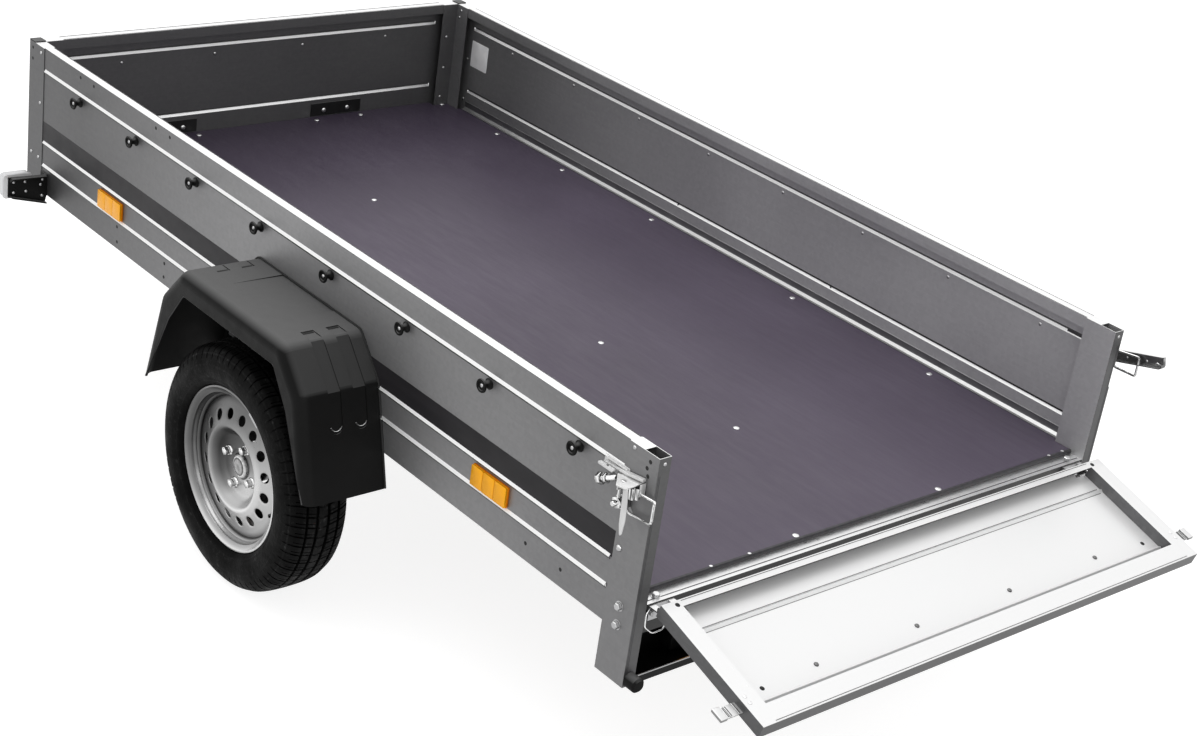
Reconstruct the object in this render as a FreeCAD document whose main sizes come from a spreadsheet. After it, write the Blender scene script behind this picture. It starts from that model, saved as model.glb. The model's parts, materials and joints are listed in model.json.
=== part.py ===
import FreeCAD, Part
import Sketcher
import math
import os
from types import SimpleNamespace

# Single-axle utility trailer with an open box bed and a drop tailgate, in millimetres.
# +X points to the coupling, +Y to the left side, +Z up, and the ground is at Z = 0.
# The bed is drawn with X = 0 at the rear faces of the rear posts and Z = 0 at the floor's top,
# and every finished piece is then moved by bedX and bedZ, so that the ground comes to Z = 0.

sizes = {
    # bed and its walls
    "bed_length": 2374,
    "bed_width": 1320,
    "rail_top": 297,
    "wall_drop": 76,
    "sheet": 1.5,
    "rail_depth": 25,
    "rear_post_width": 79,
    "front_post_width": 76,
    "post_depth": 28.5,
    "rear_post_drop": 178,
    "post_stamp_length": 57,
    "post_stamp_low": 163,
    "post_stamp_height": 49,
    "post_stamp_depth": 4,
    "post_stamp_corner": 9,
    "rail_setback": 40,
    "wall_foot_lip": 10,
    "bead_half_width": 6,
    "bead_height": 4,
    "bead_upper_drop": 57,
    "bead_middle": 55.5,
    "bead_lower": -5,
    "bead_end_gap": 6,
    "post_cap_thickness": 2.5,
    "post_cap_plug": 12,
    # floor
    "floor_thickness": 9,
    "floor_rear_edge": 34,
    "floor_side_gap": 18,
    "floor_slit": 1,
    "strip_height": 22,
    "strip_cove": 7,
    "cross_height": 40,
    "cross_width": 34,
    "cross_sheet": 2.5,
    "cross_rear": 439,
    "cross_second": 891,
    "cross_third_setback": 952,
    "cross_fourth_setback": 579,
    "cross_fifth_setback": 286,
    "sill_rear_face": 2,
    "sill_depth": 48,
    "sill_height": 60,
    # tailgate, drawn shut about its hinge line
    "hinge_back": 27,
    "hinge_drop": 8,
    "gate_gap": 5,
    "gate_depth": 28,
    "gate_top_gap": 3,
    "gate_side_gap": 27,
    "gate_lower_edge": 3,
    "gate_open_angle": 106.13,
    "gate_side_flange": 41,
    "gate_top_flange": 42,
    "gate_hinge_lip": 16,
    "gate_bead_low": 62,
    "gate_bead_high_drop": 59,
    "gate_bead_half": 5,
    "gate_bead_height": 4,
    "hinge_setback": 65,
    "knuckle_length": 30,
    "knuckle_radius": 7,
    "knuckle_gap": 0.5,
    "side_knuckle_length": 14,
    "pin_radius": 4,
    "pin_play": 0.1,
    "leaf_thickness": 3,
    "leaf_height": 42,
    "hinge_base_drop": 28,
    "hinge_notch_width": 16,
    "hinge_notch_height": 12,
    "striker_drop": 1,
    "striker_length": 30,
    "striker_reach": 54,
    "striker_thickness": 2.5,
    "striker_inset": 12,
    "striker_hook": 9,
    # lamp bar and buffers under the rear
    "lamp_bar_depth": 75,
    "lamp_bar_lip": 17,
    "lamp_bar_wall": 98,
    "lamp_bar_sheet": 2,
    "tail_lamp_setback": 150,
    "tail_lamp_width": 220,
    "tail_lamp_height": 84,
    "tail_lamp_depth": 40,
    "tail_lamp_raise": 8,
    "buffer_radius": 15,
    "buffer_length": 28,
    "buffer_bevel": 4,
    # drawbar, coupling and stand
    "drawbar_reach": 880,
    "arm_spread": 261,
    "arm_height": 60,
    "arm_width": 40,
    "arm_wall": 3,
    "arm_top": -8,
    "arm_plate_width": 162,
    "arm_plate_top": 38,
    "arm_plate_drop": 74,
    "arm_plate_thickness": 6,
    "backing_plate_low": 3,
    "backing_plate_thickness": 3,
    "coupling_length": 130,
    "head_length": 150,
    "head_half_width": 34,
    "head_wall": 4,
    "coupling_ball_radius": 25,
    "coupling_ball_play": 0.5,
    "coupling_ball_setback": 42,
    "coupling_ball_drop": 74,
    "coupling_wall": 5,
    "coupling_neck_half": 30,
    "coupling_socket_height": 12,
    "coupling_socket_crown": 8,
    "coupling_dome_crown": 14,
    "handle_length": 120,
    "handle_width": 26,
    "handle_thickness": 6,
    "handle_rise": 14,
    "stand_setback": 440,
    "stand_radius": 24,
    "stand_wall": 2.5,
    "stand_top": 60,
    "stand_play": 0.1,
    "stand_clamp_wall": 5,
    "stand_clamp_height": 60,
    "stand_foot_half": 65,
    "stand_foot_thickness": 6,
    "stand_arm_gap": 12,
    "stand_seat_gap": 0.2,
    # wheels and axle
    "wheel_place": 1096,
    "wheel_drop": 232,
    "wheel_gap": 28.5,
    "tyre_radius": 273.5,
    "tyre_half_width": 77.5,
    "tyre_shoulder": 27,
    "tread_half_width": 60,
    "sidewall_radius": 194,
    "bead_seat_radius": 165,
    "rim_flange_radius": 182,
    "rim_half_width": 63,
    "rim_wall": 4,
    "rim_flange_width": 8,
    "disc_offset": 30,
    "disc_wall": 4,
    "disc_rim_offset": 38,
    "disc_foot_radius": 142,
    "disc_shoulder_radius": 104,
    "disc_shoulder_drop": 3,
    "disc_crest": 54,
    "disc_crest_outer": 100,
    "disc_crest_inner": 90,
    "disc_hole_circle": 119.3,
    "disc_hole_radius": 12,
    "disc_hole_count": 16,
    "disc_hole_phase": 7,
    "disc_face_radius": 66,
    "wheel_bolt_circle": 50,
    "wheel_bolt_radius": 6.5,
    "wheel_bolt_count": 4,
    "wheel_bolt_phase": 20,
    "hub_bore_radius": 29,
    "hub_radius": 42,
    "hub_length": 62,
    "hub_flange_radius": 64,
    "hub_flange_thickness": 9,
    "hub_nose_radius": 28.8,
    "hub_nose_length": 12.5,
    "hub_nose_bevel": 4,
    "stub_radius": 17,
    "stub_play": 0.1,
    "stub_depth": 50,
    "axle_forward": 122,
    "axle_raise": 54,
    "axle_half": 25,
    "axle_wall": 4,
    "axle_end_setback": 48,
    "arm_lever_width": 18,
    "arm_lever_radius": 30,
    "axle_bracket_thickness": 6,
    "axle_bracket_length": 150,
    "axle_bracket_setback": 85,
    # mudguards
    "guard_top": 152,
    "guard_half_top": 198,
    "guard_half_bevel": 275,
    "guard_bevel_foot": 67,
    "guard_half_foot": 333,
    "guard_foot": -150,
    "guard_gap": 11,
    "guard_wall": 3.5,
    "guard_edge_round": 26,
    "guard_crease_round": 34,
    "guard_flap_share": 1.035,
    "guard_bevel_share": 0.904,
    "guard_drop_share": 0.492,
    "guard_top_share": 0.443,
    "guard_lip_top": 50,
    "guard_lip_side": 42,
    "guard_lip_foot": 16,
    "guard_inner_lip": 34,
    "guard_inner_rim": 14,
    "guard_channel_width": 30,
    "guard_channel_depth": 2,
    "guard_channel_near": 707,
    "guard_channel_far": 767,
    "guard_channel_start": 160,
    "guard_channel_end": 2,
    "guard_hollow_half": 98,
    "guard_hollow_reach": 130,
    "guard_hollow_depth": 2.5,
    # knobs, reflectors and front lamps
    "knob_first": 207,
    "knob_count": 8,
    "knob_end": 263,
    "knob_drop": 75,
    "knob_stand_off": 22,
    "knob_head_radius": 13.5,
    "knob_head_thickness": 7,
    "knob_stem_half": 5,
    "end_knob_inner": 136,
    "end_knob_outer": 408,
    "board_knob_drop": 82,
    "gate_knob_height": 210,
    "reflector_length": 110,
    "reflector_height": 44,
    "reflector_thickness": 9,
    "reflector_bevel": 4,
    "reflector_middle": 24,
    "reflector_rear": 436,
    "reflector_front_setback": 434,
    "front_lamp_setback": 107,
    "front_lamp_reach": 104,
    "front_lamp_plate": 4,
    "front_lamp_root_top": -20,
    "front_lamp_root_bottom": -94,
    "front_lamp_tip_top": -16,
    "front_lamp_tip_bottom": -68,
    "front_lamp_foot": 30,
    "lens_depth": 30,
    "lens_width": 78,
    "lens_overhang": 12,
    "lens_top": -12,
    "lens_bottom": -72,
    # latches
    "latch_plate_start": 36,
    "latch_plate_length": 114,
    "latch_drop": 52,
    "latch_plate_height": 27,
    "latch_plate_thickness": 2,
    "latch_plate_lips": 8,
    "latch_stand_off": 4.5,
    "latch_foot_length": 16,
    "latch_heel_drop": 12,
    "latch_ear_place": 68,
    "latch_ear_length": 24,
    "latch_ear_depth": 14,
    "latch_ear_drop": 14,
    "latch_pin_radius": 4,
    "latch_lever_width": 17,
    "latch_lever_thickness": 4,
    "latch_lever_length": 98,
    "latch_lever_lean": 14,
    "latch_lever_taper": 5,
    "latch_right_reach": 104,
    "latch_right_gap": 36,
    "latch_right_depth": 12,
    "overrun": 5,
    "edge_tolerance": 0.1,
    "overrun": 5,
}

doc = FreeCAD.newDocument("utility_trailer")
sheet = doc.addObject("Spreadsheet::Sheet", "Sizes")
for row, name in enumerate(sizes, start=1):
    sheet.set("A%d" % row, name)
    sheet.set("B%d" % row, str(sizes[name]))
    sheet.setAlias("B%d" % row, name)
doc.recompute()


class Size:
    # a length or angle: its number now, and the sheet formula that gives it
    def __init__(self, number, formula):
        self.number = float(number)
        self.formula = formula

    def __add__(self, other):
        return Size(self.number + numberOf(other), "(%s + %s)" % (self.formula, formulaOf(other)))

    def __radd__(self, other):
        return Size(numberOf(other) + self.number, "(%s + %s)" % (formulaOf(other), self.formula))

    def __sub__(self, other):
        return Size(self.number - numberOf(other), "(%s - %s)" % (self.formula, formulaOf(other)))

    def __rsub__(self, other):
        return Size(numberOf(other) - self.number, "(%s - %s)" % (formulaOf(other), self.formula))

    def __mul__(self, other):
        return Size(self.number * numberOf(other), "(%s * %s)" % (self.formula, formulaOf(other)))

    def __rmul__(self, other):
        return self * other

    def __truediv__(self, other):
        return Size(self.number / numberOf(other), "(%s / %s)" % (self.formula, formulaOf(other)))

    def __rtruediv__(self, other):
        return Size(numberOf(other) / self.number, "(%s / %s)" % (formulaOf(other), self.formula))

    def __neg__(self):
        return Size(-self.number, "(0 - %s)" % self.formula)


def numberOf(thing):
    return thing.number if isinstance(thing, Size) else float(thing)


def formulaOf(thing):
    return thing.formula if isinstance(thing, Size) else repr(float(thing))


def cosine(angle):
    return Size(math.cos(math.radians(angle.number)), "cos(%s)" % angle.formula)


def sine(angle):
    return Size(math.sin(math.radians(angle.number)), "sin(%s)" % angle.formula)


d = SimpleNamespace(**{name: Size(sizes[name], "Sizes." + name) for name in sizes})
halfWidth = d.bed_width / 2
panelOuter = halfWidth - d.sheet
panelInner = panelOuter - d.sheet
beadUpper = d.rail_top - d.bead_upper_drop
gateTop = d.rail_top + d.hinge_drop - d.gate_top_gap
gateHalfWidth = halfWidth - d.gate_side_gap
latchTop = d.rail_top - d.latch_drop
wheelPlane = panelOuter + d.wheel_gap + d.tyre_half_width
guardFace = wheelPlane + d.tyre_half_width + d.guard_gap
headStart = d.drawbar_reach - d.coupling_length - d.head_length
axleHalfLength = halfWidth - d.axle_end_setback
nodes = {}


def bind(obj, path, value):
    # ties one property of an object to the sheet
    if isinstance(value, Size):
        obj.setExpression(path, value.formula)


def place(obj, x=0, y=0, z=0, axis=None, angle=None):
    if axis is not None:
        turned = FreeCAD.Rotation(FreeCAD.Vector(*axis), numberOf(angle))
        obj.Placement = FreeCAD.Placement(FreeCAD.Vector(0, 0, 0), turned)
        bind(obj, "Placement.Rotation.Angle", angle)
    bind(obj, "Placement.Base.x", x)
    bind(obj, "Placement.Base.y", y)
    bind(obj, "Placement.Base.z", z)
    return obj


def box(name, x, y, z):
    # a block between two corners, each axis given as (low, high)
    obj = doc.addObject("Part::Box", name)
    bind(obj, "Length", x[1] - x[0])
    bind(obj, "Width", y[1] - y[0])
    bind(obj, "Height", z[1] - z[0])
    return place(obj, x[0], y[0], z[0])


turns = {"X": ((0, 1, 0), 90), "Y": ((1, 0, 0), -90), "Z": ((0, 0, 1), 0)}


def rod(name, along, radius, x, y, z):
    # a round bar along one axis; that axis is given as (low, high), the others as one place
    spans = {"X": x, "Y": y, "Z": z}
    low, high = spans[along]
    start = {"X": (low, y, z), "Y": (x, low, z), "Z": (x, y, low)}[along]
    obj = doc.addObject("Part::Cylinder", name)
    bind(obj, "Radius", radius)
    bind(obj, "Height", high - low)
    return place(obj, *start, *turns[along])


def cone(name, along, lowRadius, highRadius, x, y, z):
    spans = {"X": x, "Y": y, "Z": z}
    low, high = spans[along]
    start = {"X": (low, y, z), "Y": (x, low, z), "Z": (x, y, low)}[along]
    obj = doc.addObject("Part::Cone", name)
    bind(obj, "Radius1", lowRadius)
    bind(obj, "Radius2", highRadius)
    bind(obj, "Height", high - low)
    return place(obj, *start, *turns[along])


def fuse(name, pieces):
    obj = doc.addObject("Part::MultiFuse", name)
    obj.Shapes = pieces
    return obj


def cut(name, base, tools):
    tool = tools[0] if len(tools) == 1 else fuse(name + "_tools", tools)
    obj = doc.addObject("Part::Cut", name)
    obj.Base = base
    obj.Tool = tool
    return obj


def mirrored(name, source):
    # the same piece on the other side of the trailer
    obj = doc.addObject("Part::Mirroring", name)
    obj.Source = source
    obj.Normal = (0, 1, 0)
    return obj


def both(name, source):
    # one node that holds a left piece and its right twin
    return fuse(name, [source, mirrored(name + "_right_half", source)])


def drawOn(body, name, plane, height, loops):
    # a sketch of closed straight-sided loops, with every corner tied to the sheet
    sketch = body.newObject("Sketcher::SketchObject", name)
    origin = [item for item in body.Origin.OriginFeatures if item.Role == plane + "_Plane"][0]
    sketch.AttachmentSupport = (origin, [""])
    sketch.MapMode = "FlatFace"
    bind(sketch, "AttachmentOffset.Base.z", height)
    formulas = []
    rules = []
    for loop in loops:
        first = sketch.GeometryCount
        corners = [FreeCAD.Vector(numberOf(u), numberOf(v), 0) for u, v in loop]
        ends = corners[1:] + corners[:1]
        sketch.addGeometry([Part.LineSegment(a, b) for a, b in zip(corners, ends)], False)
        for index, (u, v) in enumerate(loop):
            line = first + index
            following = first + (index + 1) % len(loop)
            rules.append(Sketcher.Constraint("Coincident", line, 2, following, 1))
            rules.append(Sketcher.Constraint("DistanceX", -1, 1, line, 1, numberOf(u)))
            formulas.append((len(rules) - 1, u))
            rules.append(Sketcher.Constraint("DistanceY", -1, 1, line, 1, numberOf(v)))
            formulas.append((len(rules) - 1, v))
    sketch.addConstraint(rules)
    for number, value in formulas:
        bind(sketch, "Constraints[%d]" % number, value)
    return sketch


def newBody(name):
    return doc.addObject("PartDesign::Body", name)


def pad(body, name, plane, span, loops):
    # adds the loops' area from span[0] to span[1] along the plane's axis
    facesBack = plane == "XZ"
    sketch = drawOn(body, name + "_sketch", plane, -span[0] if facesBack else span[0], loops)
    obj = body.newObject("PartDesign::Pad", name)
    obj.Profile = sketch
    obj.Reversed = facesBack
    bind(obj, "Length", span[1] - span[0])
    sketch.Visibility = False
    return obj


def pocket(body, name, plane, span, loops):
    # takes the loops' area away from span[0] to span[1] along the plane's axis
    facesBack = plane == "XZ"
    sketch = drawOn(body, name + "_sketch", plane, -span[0] if facesBack else span[1], loops)
    obj = body.newObject("PartDesign::Pocket", name)
    obj.Profile = sketch
    bind(obj, "Length", span[1] - span[0])
    sketch.Visibility = False
    return obj


def revolve(body, name, loops):
    # turns loops of (radius, place along Y) about the Y axis
    sketch = drawOn(body, name + "_sketch", "XY", 0, loops)
    obj = body.newObject("PartDesign::Revolution", name)
    obj.Profile = sketch
    obj.ReferenceAxis = (sketch, ["V_Axis"])
    obj.Angle = 360
    sketch.Visibility = False
    return obj


def rounded(body, name, radius, chosen):
    # rounds the edges of the body's last feature that the test picks
    doc.recompute()
    last = body.Tip
    edges = ["Edge%d" % (n + 1) for n, edge in enumerate(last.Shape.Edges) if chosen(edge)]
    obj = body.newObject("PartDesign::Fillet", name)
    obj.Base = (last, edges)
    bind(obj, "Radius", radius)
    return obj


frontEnd = d.bed_length + d.drawbar_reach
gateInnerFace = d.hinge_back - d.gate_gap
rearEnd = gateInnerFace * cosine(d.gate_open_angle) - gateTop * sine(d.gate_open_angle) - d.hinge_back
bedX = -(frontEnd + rearEnd) / 2
bedZ = d.tyre_radius + d.wheel_drop


def keep(name, obj):
    # a finished fixed piece, moved from the bed's own frame to the trailer's
    place(obj, bedX, 0, bedZ)
    nodes[name] = obj
    return obj


def keepPair(name, obj):
    keep(name + "_left", obj)
    nodes[name + "_right"] = mirrored(name + "_right_shape", obj)


def keepOnWheels(name, obj):
    # a piece that turns with the wheels, drawn about the wheel's own centre
    place(obj, bedX + d.wheel_place, wheelPlane, d.tyre_radius)
    nodes[name + "_left"] = obj
    nodes[name + "_right"] = mirrored(name + "_right_shape", obj)


def keepOnGate(name, obj):
    # a piece of the tailgate, drawn shut about its hinge line and then swung down
    place(obj, bedX - d.hinge_back, 0, bedZ - d.hinge_drop, (0, 1, 0), -d.gate_open_angle)
    nodes[name] = obj
    return obj


def rectangle(u, v):
    return [(u[0], v[0]), (u[1], v[0]), (u[1], v[1]), (u[0], v[1])]


def wallLoops(outer, sign):
    # section of a folded wall: sheet, hollow rail at the top and foot at the bottom
    # outer is the place of the sheet's outer face, sign is the way from there to the inside
    inner = outer + d.sheet * sign
    railInner = outer + (d.post_depth - d.sheet * 2) * sign
    railHollow = railInner - d.sheet * sign
    top = d.rail_top
    railFoot = top - d.rail_depth
    bottom = -d.wall_drop
    lip = bottom + d.wall_foot_lip
    section = [(outer, bottom), (outer, top), (railInner, top), (railInner, railFoot),
               (inner, railFoot), (inner, bottom + d.sheet), (railHollow, bottom + d.sheet),
               (railHollow, lip), (railInner, lip), (railInner, bottom)]
    hollow = rectangle((inner, railHollow), (railFoot + d.sheet, top - d.sheet))
    return [section, hollow]


wallBeads = {"upper": beadUpper, "middle": d.bead_middle, "lower": d.bead_lower}


def addBeads(body, plane, outer, sign, span, chosen):
    # pressed stiffening beads, standing out of the sheet and hollow behind
    for name in chosen:
        middle = wallBeads[name]
        root = outer + d.sheet * sign / 2
        crown = outer - d.bead_height * sign
        pad(body, name + "_bead", plane, span, [[
            (root, middle - d.bead_half_width), (outer, middle - d.bead_half_width), (crown, middle),
            (outer, middle + d.bead_half_width), (root, middle + d.bead_half_width)]])
        inner = outer + d.sheet * sign
        pocket(body, name + "_groove", plane, span, [[
            (inner, middle - d.bead_half_width), (crown + d.sheet * sign, middle),
            (inner, middle + d.bead_half_width)]])


def makeSidePanel():
    body = newBody("side_panel")
    ends = (d.rail_setback, d.bed_length - d.post_depth)
    pad(body, "side_wall", "YZ", ends, wallLoops(panelOuter, -1))
    beads = (d.rear_post_width + d.bead_end_gap, d.bed_length - d.front_post_width - d.bead_end_gap)
    addBeads(body, "YZ", panelOuter, -1, beads, ("upper", "middle", "lower"))
    # room behind the stamped pocket of the rear post
    low = d.post_stamp_low - d.sheet * 2
    high = d.post_stamp_low + d.post_stamp_height + d.sheet * 2
    pocket(body, "post_notch", "XZ", (panelInner - d.overrun, panelOuter + d.overrun), [rectangle(
        (d.rail_setback - d.overrun, d.post_stamp_length + d.sheet * 2), (low, high))])
    return body


def makeFrontBoard():
    body = newBody("front_board_body")
    reach = halfWidth - d.post_depth
    pad(body, "front_wall", "XZ", (-reach, reach), wallLoops(d.bed_length - d.sheet, -1))
    beadReach = halfWidth - d.front_post_width - d.bead_end_gap
    # no bead where the drawbar's plates lie flat on the board
    addBeads(body, "XZ", d.bed_length - d.sheet, -1, (-beadReach, beadReach), ("upper", "middle"))
    return body


def makeRearPost():
    # folded channel, open to the front, that takes the end of the side wall
    body = newBody("rear_post")
    width = d.rear_post_width
    skin = d.sheet
    inside = halfWidth - d.post_depth
    pad(body, "rear_post_fold", "XY", (-d.rear_post_drop, d.rail_top), [[
        (0, inside), (width, inside), (width, inside + skin), (skin, inside + skin),
        (skin, panelOuter), (width, panelOuter), (width, halfWidth), (0, halfWidth)]])
    # stamped pocket at the rear edge, with cut corners
    low = d.post_stamp_low
    high = low + d.post_stamp_height
    long = d.post_stamp_length
    corner = d.post_stamp_corner
    floor = halfWidth - d.post_stamp_depth
    pad(body, "post_stamp_skin", "XZ", (floor - skin, panelOuter), [rectangle(
        (0, long + skin), (low - skin, high + skin))])
    pocket(body, "post_stamp", "XZ", (floor, halfWidth + d.overrun), [[
        (-d.overrun, low), (long - corner, low), (long, low + corner), (long, high - corner),
        (long - corner, high), (-d.overrun, high)]])
    return body


def makeFrontPost():
    # corner post: a square tube with two open channels, for the side wall and the front board
    body = newBody("front_post")
    front = d.bed_length
    skin = d.sheet
    back = front - d.front_post_width
    across = halfWidth - d.front_post_width
    insideX = front - d.post_depth
    insideY = halfWidth - d.post_depth
    outline = [
        (back, halfWidth), (front, halfWidth), (front, across), (front - skin, across),
        (front - skin, insideY), (insideX + skin, insideY), (insideX + skin, across),
        (insideX, across), (insideX, insideY), (back, insideY), (back, insideY + skin),
        (insideX, insideY + skin), (insideX, halfWidth - skin), (back, halfWidth - skin)]
    core = rectangle((insideX + skin, front - skin), (insideY + skin, halfWidth - skin))
    pad(body, "front_post_fold", "XY", (-d.wall_drop, d.rail_top), [outline, core])
    return body


def makePostCap():
    front = d.bed_length
    head = box("cap_head", (front - d.post_depth, front), (halfWidth - d.post_depth, halfWidth),
               (d.rail_top, d.rail_top + d.post_cap_thickness))
    plug = box("cap_plug", (front - d.post_depth + d.sheet, front - d.sheet),
               (halfWidth - d.post_depth + d.sheet, halfWidth - d.sheet),
               (d.rail_top - d.post_cap_plug, d.rail_top))
    return both("post_caps_pair", fuse("post_cap", [head, plug]))


def makeFloor():
    # plywood board, notched round the four corner posts
    body = newBody("floor")
    side = halfWidth - d.floor_side_gap
    postSide = halfWidth - d.post_depth - d.floor_slit
    rearNotch = d.rear_post_width + d.floor_slit
    frontNotch = d.bed_length - d.front_post_width - d.floor_slit
    cornerFront = d.bed_length - d.post_depth - d.floor_slit
    cornerSide = halfWidth - d.front_post_width - d.floor_slit
    front = d.bed_length - d.sheet * 2 - d.floor_slit
    half = [(d.floor_rear_edge, postSide), (rearNotch, postSide), (rearNotch, side), (frontNotch, side),
            (frontNotch, postSide), (cornerFront, postSide), (cornerFront, cornerSide), (front, cornerSide)]
    other = [(x, -y) for x, y in reversed(half)]
    pad(body, "floor_panel", "XY", (-d.floor_thickness, 0), [half + other])
    return body


def makeStrip():
    # coved strip that closes the joint between the floor and the side wall
    body = newBody("edge_strip")
    foot = halfWidth - d.floor_side_gap
    skin = d.sheet
    cove = d.strip_cove
    ends = (d.rear_post_width + d.bead_end_gap, d.bed_length - d.front_post_width - d.bead_end_gap)
    pad(body, "edge_strip_fold", "YZ", ends, [[
        (panelInner, d.strip_height), (panelInner - skin, d.strip_height),
        (panelInner - skin, cove), (panelInner - cove, skin), (foot, skin), (foot, -d.floor_thickness),
        (foot + skin, -d.floor_thickness), (foot + skin, 0), (panelInner - cove + skin / 2, 0),
        (panelInner, cove - skin / 2)]])
    return both("edge_strips_pair", body)


def makeCrossMembers():
    # folded channels under the floor, open to the front
    members = []
    top = -d.floor_thickness
    bottom = top - d.cross_height
    places = [d.cross_rear, d.cross_second]
    for setback in (d.cross_third_setback, d.cross_fourth_setback, d.cross_fifth_setback):
        places.append(d.bed_length - setback)
    for number, middle in enumerate(places, start=1):
        body = newBody("cross_member_%d" % number)
        rear = middle - d.cross_width / 2
        front = middle + d.cross_width / 2
        skin = d.cross_sheet
        pad(body, "cross_fold_%d" % number, "XZ", (-panelInner, panelInner), [[
            (rear, bottom), (front, bottom), (front, bottom + skin), (rear + skin, bottom + skin),
            (rear + skin, top - skin), (front, top - skin), (front, top), (rear, top)]])
        members.append(body)
    return fuse("cross_members_set", members)


def makeSill():
    # galvanised channel behind the floor's rear edge, between the rear posts
    body = newBody("sill")
    reach = halfWidth - d.post_depth
    rear = d.sill_rear_face
    front = rear + d.sill_depth
    top = -d.floor_thickness
    bottom = top - d.sill_height
    skin = d.cross_sheet
    pad(body, "sill_fold", "XZ", (-reach, reach), [[
        (rear, bottom), (front, bottom), (front, bottom + skin), (rear + skin, bottom + skin),
        (rear + skin, top - skin), (front, top - skin), (front, top), (rear, top)]])
    return body


def makeHingeBracket():
    # the fixed half of one hinge: base plate, two tabs with knuckles, and the pin
    axisX = -d.hinge_back
    axisZ = -d.hinge_drop
    middle = halfWidth - d.hinge_setback
    inner = middle - d.knuckle_length / 2 - d.knuckle_gap
    outer = middle + d.knuckle_length / 2 + d.knuckle_gap
    spans = ((inner - d.side_knuckle_length, inner), (outer, outer + d.side_knuckle_length))
    tabLow = axisZ - d.knuckle_radius
    pieces = [box("hinge_base", (d.sill_rear_face - d.leaf_thickness, d.sill_rear_face),
                  (spans[0][0], spans[1][1]), (tabLow - d.hinge_base_drop, tabLow + d.leaf_thickness))]
    for name, span in zip(("inner", "outer"), spans):
        pieces.append(box("hinge_tab_" + name, (axisX, d.sill_rear_face - d.leaf_thickness / 2), span,
                          (tabLow, tabLow + d.leaf_thickness)))
        pieces.append(rod("hinge_knuckle_" + name, "Y", d.knuckle_radius, axisX, span, axisZ))
    pieces.append(rod("hinge_pin", "Y", d.pin_radius, axisX, (spans[0][0], spans[1][1]), axisZ))
    return both("hinge_brackets_pair", fuse("hinge_bracket", pieces))


def makeGatePan():
    # shallow tray of folded sheet with a hollow frame round its inner face
    outer = gateInnerFace - d.gate_depth
    reach = gateHalfWidth
    low = d.gate_lower_edge
    skin = d.sheet
    blank = box("gate_blank", (outer, gateInnerFace), (-reach, reach), (low, gateTop))
    frameLow = gateTop - d.gate_top_flange
    frameSide = reach - d.gate_side_flange
    tray = box("gate_tray", (outer + skin, gateInnerFace + d.overrun), (-frameSide, frameSide),
               (low + d.gate_hinge_lip, frameLow))
    under = box("gate_under_lip", (outer + skin, gateInnerFace - skin), (-frameSide, frameSide),
                (low + skin, low + d.gate_hinge_lip + d.overrun))
    hollow = [box("gate_top_hollow", (outer + skin, gateInnerFace - skin), (-(reach - skin), reach - skin),
                  (frameLow + skin, gateTop - skin))]
    for side in (-1, 1):
        edges = sorted((side * (frameSide + skin), side * (reach - skin)), key=numberOf)
        name = "right" if side < 0 else "left"
        hollow.append(box("gate_side_hollow_" + name, (outer + skin, gateInnerFace - skin), edges,
                          (low - d.overrun, frameLow + skin * 2)))
    notches = []
    for side in (-1, 1):
        span = d.knuckle_length / 2 + d.knuckle_gap * 2 + d.side_knuckle_length + d.knuckle_gap
        middle = (halfWidth - d.hinge_setback) * side
        edges = (middle - span, middle + span)
        notches.append(box("gate_notch_%s" % ("right" if side < 0 else "left"),
                           (outer - d.overrun, outer + d.hinge_notch_width), edges,
                           (low - d.overrun, low + d.hinge_notch_height)))
    pan = cut("gate_pan_shell", blank, [tray, under] + hollow + notches)
    beads = []
    for name, middle in (("low", low + d.gate_bead_low), ("high", gateTop - d.gate_bead_high_drop)):
        body = newBody("gate_bead_" + name)
        pad(body, "gate_bead_fold_" + name, "XZ", (-frameSide, frameSide), [[
            (outer + skin / 2, middle - d.gate_bead_half), (outer + skin, middle - d.gate_bead_half),
            (outer + skin + d.gate_bead_height, middle), (outer + skin, middle + d.gate_bead_half),
            (outer + skin / 2, middle + d.gate_bead_half)]])
        beads.append(body)
    return fuse("gate_pan", [pan] + beads)


def makeGateHinges():
    # the moving half: a knuckle with its leaf on the gate's outer face
    outer = gateInnerFace - d.gate_depth
    middle = halfWidth - d.hinge_setback
    span = (middle - d.knuckle_length / 2, middle + d.knuckle_length / 2)
    leaf = box("gate_leaf", (outer - d.leaf_thickness, outer), span, (0, d.leaf_height))
    barrel = rod("gate_knuckle", "Y", d.knuckle_radius, 0, span, 0)
    bore = rod("gate_knuckle_bore", "Y", d.pin_radius + d.pin_play, 0,
               (span[0] - d.overrun, span[1] + d.overrun), 0)
    hinge = cut("gate_hinge", fuse("gate_hinge_blank", [leaf, barrel]), [bore])
    return both("gate_hinges_pair", hinge)


def makeStrikers():
    # plates that stick out of the gate's ends for the side latches to hook
    plane = gateInnerFace - d.striker_inset
    reach = gateHalfWidth + d.striker_reach
    low = latchTop - d.latch_plate_height + d.hinge_drop - d.striker_drop
    span = (low, low + d.striker_length)
    plate = box("striker_plate", (plane - d.striker_thickness, plane), (gateHalfWidth, reach), span)
    hook = box("striker_hook_lip", (plane - d.striker_hook, plane),
               (reach - d.striker_thickness, reach), span)
    foot = box("striker_foot", (plane - d.striker_hook, plane),
               (gateHalfWidth, gateHalfWidth + d.striker_thickness), span)
    return both("gate_strikers_pair", fuse("gate_striker", [plate, hook, foot]))


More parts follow.
